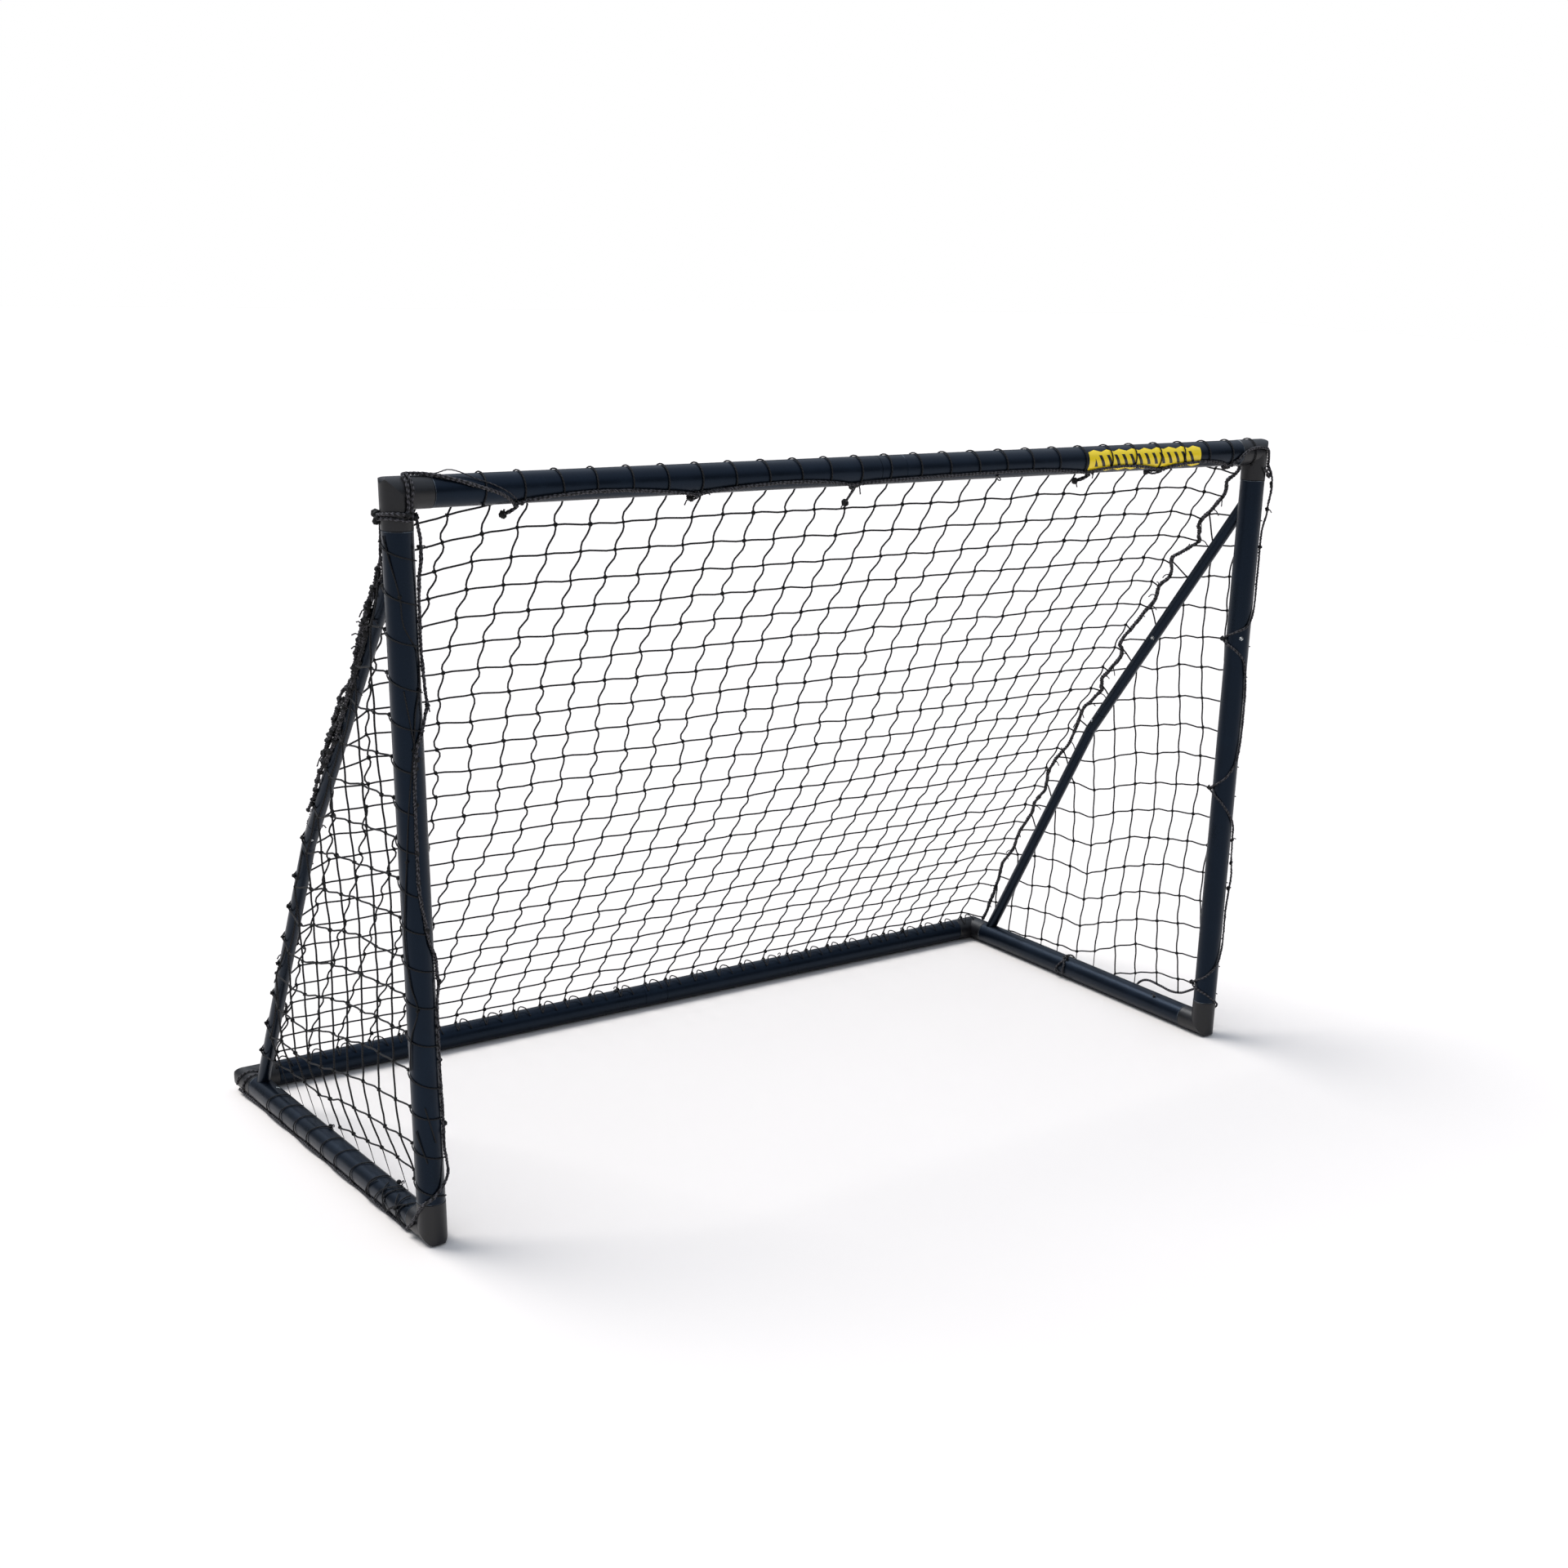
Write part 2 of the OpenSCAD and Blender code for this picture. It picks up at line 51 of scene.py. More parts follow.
postMiddle, postHalf = middle("post_right")
postX, frontY, pipeR = postMiddle.x, postMiddle.y, postHalf.x
topZ = middle("crossbar_right")[0].z
backY = middle("back_bar_right")[0].y
groundZ = middle("side_bar_right")[0].z
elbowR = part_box("elbow_top_right")[1][2] - topZ
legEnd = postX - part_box("crossbar_right")[1][0]  # from a corner's centre to the end of its leg
sideNetX = middle("net_side_right")[0].x
upperMiddle, upperHalf = middle("strut_upper_right")
lowerMiddle, lowerHalf = middle("strut_lower_right")
strutR = upperHalf.x
goalDepth = backY - frontY
slopeRun = math.hypot(goalDepth, topZ - groundZ)
downSlope = Vector((0, goalDepth, groundZ - topZ)) / slopeRun
offSlope = Vector((0, -downSlope.z, downSlope.y))
crossbarMiddle = Vector((0, frontY, topZ))


def stations(node, axis):  # where the hooks of one node stand along their bar
    places = sorted(vertex.co[axis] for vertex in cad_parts[node].data.vertices)
    groups = [[places[0]]]
    for place in places[1:]:
        if place - groups[-1][-1] > 0.03:
            groups.append([])
        groups[-1].append(place)
    return [(group[0] + group[-1]) / 2 for group in groups]


crossbarHooks = stations("hooks_crossbar", 0)
postHooks = stations("hooks_post_right", 2)
sideHooks = [place - frontY for place in stations("hooks_side_right", 1)]


def polar(turn, radius):
    return radius * math.cos(math.radians(turn)), radius * math.sin(math.radians(turn))


def barRadius(fromCorner):  # a corner's leg is a little fatter than the pipe
    return elbowR if fromCorner < legEnd else pipeR


def onCrossbar(x, turn, lift=0.0):  # degrees below straight forward
    ahead, down = polar(turn, barRadius(postX - abs(x)) + lift)
    return Vector((x, frontY - ahead, topZ - down))


def onPost(side, z, turn, lift=0.0):  # degrees forward of straight outward
    out, ahead = polar(turn, barRadius(min(z - groundZ, topZ - z)) + lift)
    return Vector((side * (postX + out), frontY - ahead, z))


def onSideBar(side, depth, turn, lift=0.0):  # degrees above straight outward
    out, up = polar(turn, barRadius(min(depth, goalDepth - depth)) + lift)
    return Vector((side * (postX + out), frontY + depth, groundZ + up))


def onBackBar(x, turn, lift=0.0):  # degrees above straight back
    back, up = polar(turn, barRadius(postX - abs(x)) + lift)
    return Vector((x, backY + back, groundZ + up))


def onBackNet(x, run, lift=0.0):  # run is the way down the slope from the crossbar
    return crossbarMiddle + Vector((x, 0, 0)) + downSlope * run + offSlope * (elbowR + 0.0018 + lift)


def onSideNet(side, depth, z, lift=0.0):
    return Vector((side * (sideNetX + lift), frontY + depth, z))


def strutBend():  # depth and height of the strut's axis at its top, its bend and its foot
    top = (upperMiddle.y - upperHalf.y + 0.8 * strutR, upperMiddle.z + upperHalf.z - 0.6 * strutR)
    bend = (lowerMiddle.y - lowerHalf.y + 0.87 * strutR, lowerMiddle.z + lowerHalf.z - 0.49 * strutR)
    foot = (lowerMiddle.y + lowerHalf.y - 0.87 * strutR, lowerMiddle.z - lowerHalf.z + 0.49 * strutR)
    return top, bend, foot


strutTopZ = 1.585  # its flattened end sits in the post above this


def onStrut(side, z, turn, lift=0.0):  # degrees behind straight outward
    top, bend, foot = strutBend()
    (y1, z1), (y2, z2) = (top, bend) if z > bend[1] else (bend, foot)
    axisY = y1 + (y2 - y1) * (z1 - z) / (z1 - z2)
    length = math.hypot(y2 - y1, z1 - z2)
    out, behind = polar(turn, strutR + lift)
    return Vector((side * (postX + out), axisY + behind * (z1 - z2) / length,
                   z + behind * (y2 - y1) / length))


def smooth(value, start, end):
    share = min(1.0, max(0.0, (value - start) / (end - start)))
    return share * share * (3 - 2 * share)


def bent(points, step):  # a smooth line through given points
    line = []
    padded = [points[0]] + list(points) + [points[-1]]
    for a, b, c, d in zip(padded, padded[1:], padded[2:], padded[3:]):
        count = max(1, round((c - b).length / step))
        for i in range(count):
            t = i / count
            line.append(0.5 * (2 * b + (c - a) * t + (2 * a - 5 * b + 4 * c - d) * t * t
                               + (3 * b - a - 3 * c + d) * t * t * t))
    return line + [points[-1].copy()]


cameraPlace = {"eye": (-3.262, -4.818, 2.322), "azimuth": -38.776, "elevation": 21.465,
               "roll": 2.295, "lens": 48.994, "shift x": -0.08333, "shift y": 0.17188}


def addCamera(place):
    azimuth, elevation, roll = (math.radians(place[key]) for key in ("azimuth", "elevation", "roll"))
    look = Vector((-math.sin(azimuth) * math.cos(elevation), math.cos(azimuth) * math.cos(elevation),
                   -math.sin(elevation)))
    right = look.cross(Vector((0, 0, 1))).normalized()
    up = right.cross(look)
    right, up = (right * math.cos(roll) + up * math.sin(roll),
                 up * math.cos(roll) - right * math.sin(roll))
    data = bpy.data.cameras.new("camera")
    data.lens = place["lens"]
    data.sensor_width = 36
    data.shift_x, data.shift_y = place["shift x"], place["shift y"]
    camera = bpy.data.objects.new("camera", data)
    turn = Matrix((right, up, -look)).transposed().to_4x4()
    camera.matrix_world = Matrix.Translation(place["eye"]) @ turn
    bpy.context.collection.objects.link(camera)
    bpy.context.scene.camera = camera


addCamera(cameraPlace)
print("camera set")


def colour(hexCode):  # sRGB hex to linear
    def channel(part):
        share = int(part, 16) / 255
        return share / 12.92 if share <= 0.04045 else ((share + 0.055) / 1.055) ** 2.4
    return (*(channel(hexCode[i:i + 2]) for i in (1, 3, 5)), 1)


def addNode(tree, kind, links=None, stops=(), into=None, **settings):
    node = tree.nodes.new(kind)
    for name, value in settings.items():
        setattr(node, name, value)
    for socket, value in (links or {}).items():
        if isinstance(value, bpy.types.NodeSocket):
            tree.links.new(value, node.inputs[socket])
        else:
            node.inputs[socket].default_value = value
    if stops:  # a colour ramp's stops, as hex colours or greys
        elements = node.color_ramp.elements
        while len(elements) < len(stops):
            elements.new(0.5)
        for element, (place, tone) in zip(elements, stops):
            element.position = place
            element.color = colour(tone) if isinstance(tone, str) else (tone, tone, tone, 1)
    if into is not None:
        tree.links.new(node.outputs[0], into)
    return node


def newMaterial(name, **shader):
    material = bpy.data.materials.new(name)
    material.use_nodes = True
    tree = material.node_tree
    surface = tree.nodes["Principled BSDF"]
    for socket, value in shader.items():
        surface.inputs[socket.replace("_", " ")].default_value = value
    return material, tree, surface


def objectPattern(tree, scale=(1, 1, 1), turn=(0, 0, 0)):  # places in the object's own metres
    coordinates = addNode(tree, "ShaderNodeTexCoord")
    return addNode(tree, "ShaderNodeMapping", {"Vector": coordinates.outputs["Object"],
                                               "Scale": scale, "Rotation": turn}).outputs[0]


def toneAndRelief(tree, surface, pattern, stops, strength, depth):  # both follow one pattern
    addNode(tree, "ShaderNodeValToRGB", {"Fac": pattern}, stops, surface.inputs["Base Color"])
    addNode(tree, "ShaderNodeBump", {"Height": pattern, "Strength": strength, "Distance": depth},
            into=surface.inputs["Normal"])


def extrudedPipe(name, stretch, turn=(0, 0, 0)):
    # Extruded uPVC pipe: blue-black, satin, with faint draw lines along it, dust and rubbed patches;
    # its pale blue specular tint is a painted sky reflection on the highlights
    material, tree, surface = newMaterial(name, Roughness=0.3, IOR=1.53, Specular_IOR_Level=0.26,
                                          Specular_Tint=colour("#a9c8f0"))
    long = objectPattern(tree, [6 if axis else 900 for axis in stretch], turn)  # 1 mm draw lines
    lines = addNode(tree, "ShaderNodeTexNoise", {"Vector": long, "Scale": 1, "Detail": 3})
    patches = addNode(tree, "ShaderNodeTexNoise",
                      {"Vector": objectPattern(tree), "Scale": 9, "Detail": 6, "Roughness": 0.6})
    specks = addNode(tree, "ShaderNodeTexNoise",
                     {"Vector": objectPattern(tree), "Scale": 350, "Detail": 2})
    base = addNode(tree, "ShaderNodeValToRGB", {"Fac": patches.outputs[0]},
                   [(0.3, "#04070c"), (0.55, "#070c14"), (0.8, "#0c151f")])
    dust = addNode(tree, "ShaderNodeValToRGB", {"Fac": specks.outputs[0]},
                   [(0.6, 0.0), (0.78, 0.35)])
    tint = addNode(tree, "ShaderNodeMix", {"Factor": dust.outputs[0], 6: base.outputs[0],
                                           7: colour("#1c242d")}, data_type="RGBA")
    tree.links.new(tint.outputs[2], surface.inputs["Base Color"])
    addNode(tree, "ShaderNodeMapRange",
            {"Value": patches.outputs[0], "From Min": 0.3, "From Max": 0.75,
             "To Min": 0.24, "To Max": 0.42}, into=surface.inputs["Roughness"])
    fine = addNode(tree, "ShaderNodeBump",
                   {"Height": lines.outputs[0], "Strength": 0.12, "Distance": 0.0006})
    addNode(tree, "ShaderNodeBump",
            {"Height": specks.outputs[0], "Strength": 0.05, "Distance": 0.0004,
             "Normal": fine.outputs[0]}, into=surface.inputs["Normal"])
    return material


def mouldedCorner():
    # Injection-moulded ABS: near black, with a fine spark-eroded grain and slightly paler wear
    material, tree, surface = newMaterial("moulded ABS corner", Roughness=0.4, IOR=1.54,
                                          Specular_IOR_Level=0.36)
    grain = addNode(tree, "ShaderNodeTexNoise",
                    {"Vector": objectPattern(tree), "Scale": 900, "Detail": 2})  # 1 mm grain
    wear = addNode(tree, "ShaderNodeTexNoise",
                   {"Vector": objectPattern(tree), "Scale": 28, "Detail": 7, "Roughness": 0.65})
    addNode(tree, "ShaderNodeValToRGB", {"Fac": wear.outputs[0]},
            [(0.35, "#0b0b0e"), (0.6, "#101014"), (0.8, "#1a1a1f")], surface.inputs["Base Color"])
    addNode(tree, "ShaderNodeMapRange",
            {"Value": wear.outputs[0], "From Min": 0.3, "From Max": 0.8,
             "To Min": 0.34, "To Max": 0.52}, into=surface.inputs["Roughness"])
    addNode(tree, "ShaderNodeBump",
            {"Height": grain.outputs[0], "Strength": 0.18, "Distance": 0.0005},
            into=surface.inputs["Normal"])
    return material


def platedSteel(name, dark, light, roughness):
    # Zinc-plated steel, tumbled: bright with a faint cloudy bloom
    material, tree, surface = newMaterial(name, Metallic=1.0, Roughness=roughness)
    bloom = addNode(tree, "ShaderNodeTexNoise",
                    {"Vector": objectPattern(tree), "Scale": 420, "Detail": 4})
    toneAndRelief(tree, surface, bloom.outputs[0], [(0.3, dark), (0.7, light)], 0.15, 0.0003)
    return material


def mouldedNylon():
    # Moulded nylon hook: glossy black with a slight flow mark
    material, tree, surface = newMaterial("moulded nylon hook", Roughness=0.2, IOR=1.53)
    flow = addNode(tree, "ShaderNodeTexNoise",
                   {"Vector": objectPattern(tree), "Scale": 260, "Detail": 3})
    toneAndRelief(tree, surface, flow.outputs[0], [(0.35, "#0c0c0e"), (0.7, "#1d1d20")],
                  0.1, 0.0003)
    return material


def spunPolyethylene(name, dark, light, twist):
    # Spun polyethylene twine: matt black fibres with random tufts; the paler and darker bands along the
    # slanting twist are painted highlight on the strand crests and painted shade in the grooves
    material, tree, surface = newMaterial(name, Roughness=0.7, IOR=1.5, Specular_IOR_Level=0.25)
    fibre = addNode(tree, "ShaderNodeTexNoise",
                    {"Vector": objectPattern(tree), "Scale": 700, "Detail": 4})  # 1.4 mm tufts
    along = addNode(tree, "ShaderNodeUVMap", uv_map="UVMap")
    lay = addNode(tree, "ShaderNodeTexWave",
                  {"Vector": along.outputs[0], "Scale": 1 / twist, "Distortion": 1.5, "Detail": 2},
                  wave_type="BANDS", bands_direction="DIAGONAL")
    # Fibre tufts times the twist bands: the bands are painted highlight on the crests and painted shade
    # in the grooves
    tuftsAndTwistShade = addNode(tree, "ShaderNodeMath", {0: fibre.outputs[0], 1: lay.outputs["Fac"]},
                    operation="MULTIPLY")
    toneAndRelief(tree, surface, tuftsAndTwistShade.outputs[0], [(0.05, dark), (0.5, light)], 0.6, 0.0008)
    return material


stickerPrint = {"bars": 15, "bar share": 0.4, "lean": 0.07, "half height": 0.27,
                "half length": 0.45, "yellow": "#f0d119", "black": "#17160f"}


def printedVinyl():
    # Printed vinyl label: yellow with one row of plain slanting dark bars
    material, tree, surface = newMaterial("printed vinyl label", Roughness=0.32, IOR=1.5)
    low, high = (Vector(corner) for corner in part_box("yellow_sticker"))
    long, tall = high.x - low.x, high.z - low.z
    place = addNode(tree, "ShaderNodeMapping",
                    {"Vector": addNode(tree, "ShaderNodeTexCoord").outputs["Object"],
                     "Location": (-(low.x + high.x) / 2 / long, 0, -topZ / tall),
                     "Scale": (1 / long, 1, 1 / tall)})
    axes = addNode(tree, "ShaderNodeSeparateXYZ", {"Vector": place.outputs[0]})
    slanted = addNode(tree, "ShaderNodeMath",
                      {0: axes.outputs["Z"], 1: stickerPrint["lean"], 2: axes.outputs["X"]},
                      operation="MULTIPLY_ADD")
    counted = addNode(tree, "ShaderNodeMath",  # 20 keeps the count above nought
                      {0: slanted.outputs[0], 1: stickerPrint["bars"], 2: 20},
                      operation="MULTIPLY_ADD")
    phase = addNode(tree, "ShaderNodeMath", {0: counted.outputs[0]}, operation="FRACT")
    dark = addNode(tree, "ShaderNodeMath", {0: phase.outputs[0], 1: stickerPrint["bar share"]},
                   operation="LESS_THAN")
    for axis, reach in (("Z", "half height"), ("X", "half length")):  # the bars stop short
        off = addNode(tree, "ShaderNodeMath", {0: axes.outputs[axis]}, operation="ABSOLUTE")
        inside = addNode(tree, "ShaderNodeMath", {0: off.outputs[0], 1: stickerPrint[reach]},
                         operation="LESS_THAN")
        dark = addNode(tree, "ShaderNodeMath", {0: dark.outputs[0], 1: inside.outputs[0]},
                       operation="MULTIPLY")
    printed = addNode(tree, "ShaderNodeMix",
                      {"Factor": dark.outputs[0], 6: colour(stickerPrint["yellow"]),
                       7: colour(stickerPrint["black"])}, data_type="RGBA")
    tree.links.new(printed.outputs[2], surface.inputs["Base Color"])
    grain = addNode(tree, "ShaderNodeTexNoise", {"Vector": objectPattern(tree), "Scale": 500})
    addNode(tree, "ShaderNodeBump",
            {"Height": grain.outputs[0], "Strength": 0.05, "Distance": 0.0003},
            into=surface.inputs["Normal"])
    return material


def paperLabel():
    # Small white paper label with scuffed print marks
    material, tree, surface = newMaterial("white paper dot", Roughness=0.6)
    marks = addNode(tree, "ShaderNodeTexNoise",
                    {"Vector": objectPattern(tree), "Scale": 230, "Detail": 2})
    toneAndRelief(tree, surface, marks.outputs[0], [(0.44, "#d9dbd8"), (0.54, "#33383c")],
                  0.1, 0.0003)
    return material


def paintedEdgeHighlight():
    # Painted highlight on the sawn and chamfered pipe edge: mottled, and paler than the pipe
    material, tree, surface = newMaterial("chamfered pipe edge", Roughness=0.5)
    highlightMottle = addNode(tree, "ShaderNodeTexNoise",
                     {"Vector": objectPattern(tree), "Scale": 60, "Detail": 4})
    addNode(tree, "ShaderNodeValToRGB", {"Fac": highlightMottle.outputs[0]},
            [(0.4, "#22272e"), (0.6, "#5b646d")], surface.inputs["Base Color"])
    return material


strutTurn = math.atan2(downSlope.z, downSlope.y)
alongGoal = extrudedPipe("uPVC pipe along the goal", (1, 0, 0))
# The light tones are painted highlight on the twist crests and the dark ones painted shade in its
# grooves, over random fibre tufts
netFinish = spunPolyethylene("spun polyethylene net twine", "#060607", "#1e1e21", 0.012)
ropeFinish = spunPolyethylene("laid polyethylene border rope", "#121213", "#504e52", 0.02)
edgeHighlightFinish = paintedEdgeHighlight()
finishes = {  # by the way a node's name starts
    "post": extrudedPipe("uPVC pipe upright", (0, 0, 1)),
    "crossbar": alongGoal,
    "back_bar": alongGoal,
    "side_bar": extrudedPipe("uPVC pipe along the side", (0, 1, 0)),
    "strut": extrudedPipe("uPVC strut", (0, 1, 0), (-strutTurn, 0, 0)),
    "elbow": mouldedCorner(),
    "hooks": mouldedNylon(),
    "button": platedSteel("zinc-plated button", "#8f9499", "#d5d8da", 0.28),
    "spring": platedSteel("spring steel", "#5d6268", "#94999e", 0.35),
    "net": ropeFinish,
    "rope": ropeFinish,
    "seam": ropeFinish,
    "yellow_sticker": printedVinyl(),
    "assembly_dots": paperLabel(),
}
for name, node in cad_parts.items():
    finish = next(finish for start, finish in finishes.items() if name.startswith(start))
    for materialSlot in node.material_slots:
        materialSlot.material = finish
print("finishes given to the pipes, corners and fittings")


def newTree(name, sockets):  # an empty tree with its named inputs
    tree = bpy.data.node_groups.new(name, "GeometryNodeTree")
    tree.interface.new_socket("Geometry", in_out="INPUT", socket_type="NodeSocketGeometry")
    for label, kind in sockets.items():
        tree.interface.new_socket(label, in_out="INPUT", socket_type="NodeSocket" + kind)
    tree.interface.new_socket("Geometry", in_out="OUTPUT", socket_type="NodeSocketGeometry")
    return tree, addNode(tree, "NodeGroupInput"), addNode(tree, "NodeGroupOutput")


def sweep(tree, curve, diameter, sides, girth):  # a round section along a curve, with a UV along it
    spot = addNode(tree, "GeometryNodeSplineParameter")
    marked = addNode(tree, "GeometryNodeStoreNamedAttribute",
                     {"Geometry": curve, "Name": "alongCord", "Value": spot.outputs["Length"]},
                     data_type="FLOAT", domain="POINT")
    radius = addNode(tree, "ShaderNodeMath", {0: diameter, 1: 0.5}, operation="MULTIPLY")
    circle = addNode(tree, "GeometryNodeCurvePrimitiveCircle",
                     {"Resolution": sides, "Radius": radius.outputs[0]}, mode="RADIUS")
    roundSpot = addNode(tree, "GeometryNodeSplineParameter")
    marks = addNode(tree, "GeometryNodeStoreNamedAttribute",
                    {"Geometry": circle.outputs["Curve"], "Name": "roundCord",
                     "Value": roundSpot.outputs["Factor"]}, data_type="FLOAT", domain="POINT")
    tube = addNode(tree, "GeometryNodeCurveToMesh",
                   {"Curve": marked.outputs[0], "Profile Curve": marks.outputs[0],
                    "Scale": girth, "Fill Caps": True})
    along, around = (addNode(tree, "GeometryNodeInputNamedAttribute", {"Name": name},
                             data_type="FLOAT").outputs[0] for name in ("alongCord", "roundCord"))
    wide = addNode(tree, "ShaderNodeMath", {0: around, 1: 0.01}, operation="MULTIPLY")
    flat = addNode(tree, "ShaderNodeCombineXYZ", {"X": wide.outputs[0], "Y": along})
    return addNode(tree, "GeometryNodeStoreNamedAttribute",
                   {"Geometry": tube.outputs[0], "Name": "UVMap", "Value": flat.outputs[0]},
                   data_type="FLOAT2", domain="CORNER").outputs[0]


def knotShape(tree):  # two small rings through each other, one unit across
    rings = addNode(tree, "GeometryNodeJoinGeometry")
    for turn in ((0.3, 0.2, 0.0), (1.5, 0.1, 0.9)):
        path = addNode(tree, "GeometryNodeCurvePrimitiveCircle", {"Resolution": 7, "Radius": 0.3})
        section = addNode(tree, "GeometryNodeCurvePrimitiveCircle",
                          {"Resolution": 4, "Radius": 0.22})
        ring = addNode(tree, "GeometryNodeCurveToMesh",
                       {"Curve": path.outputs[0], "Profile Curve": section.outputs[0]})
        turned = addNode(tree, "GeometryNodeTransform",
                         {"Geometry": ring.outputs[0], "Rotation": turn})
        tree.links.new(turned.outputs[0], rings.inputs[0])
    return rings.outputs[0]


def knotsAt(tree, geometry, size):
    marked = addNode(tree, "GeometryNodeInputNamedAttribute", {"Name": "knot"}, data_type="FLOAT")
    isKnot = addNode(tree, "FunctionNodeCompare", {0: marked.outputs[0], 1: 0.01},
                     data_type="FLOAT", operation="GREATER_THAN")
    turn = addNode(tree, "FunctionNodeRandomValue",
                   {0: (0, 0, 0), 1: (6.28, 6.28, 6.28), "Seed": 5}, data_type="FLOAT_VECTOR")
    scale = addNode(tree, "ShaderNodeMath", {0: marked.outputs[0], 1: size}, operation="MULTIPLY")
    return addNode(tree, "GeometryNodeInstanceOnPoints",
                   {"Points": geometry, "Selection": isKnot.outputs[0], "Instance": knotShape(tree),
                    "Rotation": turn.outputs[0], "Scale": scale.outputs[0]}).outputs[0]


def finishTree(tree, output, parts, material):
    joined = addNode(tree, "GeometryNodeJoinGeometry")
    for part in parts:
        tree.links.new(part, joined.inputs[0])
    real = addNode(tree, "GeometryNodeRealizeInstances", {0: joined.outputs[0]})
    shaded = addNode(tree, "GeometryNodeSetShadeSmooth", {"Geometry": real.outputs[0]})
    done = addNode(tree, "GeometryNodeSetMaterial",
                   {"Geometry": shaded.outputs[0], "Material": material})
    tree.links.new(done.outputs[0], output.inputs[0])


def twineTree():  # single twines, and a knot wherever a loose point is marked as one
    tree, given, output = newTree("knotted twine", {
        "Twine diameter": "Float", "Sides": "Int", "Knot size": "Float", "Finish": "Material"})
    girth = addNode(tree, "GeometryNodeInputNamedAttribute", {"Name": "girth"}, data_type="FLOAT")
    curve = addNode(tree, "GeometryNodeMeshToCurve", {"Mesh": given.outputs["Geometry"]})
    tube = sweep(tree, curve.outputs[0], given.outputs["Twine diameter"], given.outputs["Sides"],
                 girth.outputs[0])
    knots = knotsAt(tree, given.outputs["Geometry"], given.outputs["Knot size"])
    finishTree(tree, output, (tube, knots), given.outputs["Finish"])
    return tree


def ropeTree(strands=3):  # three strands laid round each other
    tree, given, output = newTree("laid rope", {
        "Rope diameter": "Float", "Lay length": "Float", "Sides": "Int", "Knot size": "Float",
        "Finish": "Material"})
    girth = addNode(tree, "GeometryNodeInputNamedAttribute", {"Name": "girth"}, data_type="FLOAT")
    curve = addNode(tree, "GeometryNodeMeshToCurve", {"Mesh": given.outputs["Geometry"]})
    length = addNode(tree, "GeometryNodeSplineParameter").outputs["Length"]
    turns = addNode(tree, "ShaderNodeMath", {0: length, 1: given.outputs["Lay length"]},
                    operation="DIVIDE")
    normal = addNode(tree, "GeometryNodeInputNormal").outputs[0]
    tangent = addNode(tree, "GeometryNodeInputTangent").outputs[0]
    reach = addNode(tree, "ShaderNodeMath",
                    {0: given.outputs["Rope diameter"], 1: 0.268}, operation="MULTIPLY")
    scaled = addNode(tree, "ShaderNodeMath", {0: reach.outputs[0], 1: girth.outputs[0]},
                     operation="MULTIPLY")
    strandWidth = addNode(tree, "ShaderNodeMath",
                          {0: given.outputs["Rope diameter"], 1: 0.5}, operation="MULTIPLY")
    parts = []
    for i in range(strands):
        angle = addNode(tree, "ShaderNodeMath",
                        {0: turns.outputs[0], 1: 2 * math.pi, 2: i * 2 * math.pi / strands},
                        operation="MULTIPLY_ADD")
        spoke = addNode(tree, "ShaderNodeVectorRotate",
                        {"Vector": normal, "Axis": tangent, "Angle": angle.outputs[0]})
        offset = addNode(tree, "ShaderNodeVectorMath",
                         {0: spoke.outputs[0], "Scale": scaled.outputs[0]}, operation="SCALE")
        moved = addNode(tree, "GeometryNodeSetPosition",
                        {"Geometry": curve.outputs[0], "Offset": offset.outputs[0]})
        parts.append(sweep(tree, moved.outputs[0], strandWidth.outputs[0], given.outputs["Sides"],
                           girth.outputs[0]))
    parts.append(knotsAt(tree, given.outputs["Geometry"], given.outputs["Knot size"]))
    finishTree(tree, output, parts, given.outputs["Finish"])
    return tree


class Lines:  # the lines of one piece, each with one girth or one for every point, and its knots
    def __init__(self):
        self.lines, self.knots = [], []

    def add(self, points, girth=1.0):
        self.lines.append((points, girth))

    def knot(self, point, size=1.0):
        self.knots.append((point, size))


def grow(name, drawn, tree, values):  # the drawn lines become edges, and the tree makes cords
    vertices, edges, girths, knots = [], [], [], []
    for points, girth in drawn.lines:
        start = len(vertices)
        vertices.extend(points)
        edges.extend((start + i, start + i + 1) for i in range(len(points) - 1))
        girths.extend(girth if isinstance(girth, list) else [girth] * len(points))
        knots.extend([0.0] * len(points))
    for point, size in drawn.knots:
        vertices.append(point)
        girths.append(1.0)
        knots.append(size)
    mesh = bpy.data.meshes.new(name + " lines")
    mesh.from_pydata(vertices, edges, [])
    for label, numbers in (("girth", girths), ("knot", knots)):
        mesh.attributes.new(label, "FLOAT", "POINT").data.foreach_set("value", numbers)
    sketch = bpy.data.objects.new(name + " sketch", mesh)
    bpy.context.collection.objects.link(sketch)
    modifier = sketch.modifiers.new("grow", "NODES")
    modifier.node_group = tree
    for item in tree.interface.items_tree:
        if item.in_out == "INPUT" and item.name in values:
            modifier[item.identifier] = values[item.name]
    grown = sketch.evaluated_get(bpy.context.evaluated_depsgraph_get())
    shape = bpy.data.meshes.new_from_object(grown)
    piece = bpy.data.objects.new(name, shape)
    shape.name = name
    bpy.context.collection.objects.link(piece)
    bpy.data.objects.remove(sketch)
    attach(piece, "frame")
    print(name, len(shape.polygons), "faces")
    return piece


twine, rope = twineTree(), ropeTree()
netTwine = {"Twine diameter": 0.0048, "Sides": 5, "Knot size": 0.011, "Finish": netFinish}
borderRope = {"Rope diameter": 0.0085, "Lay length": 0.026, "Sides": 5, "Knot size": 0.014,
              "Finish": ropeFinish}


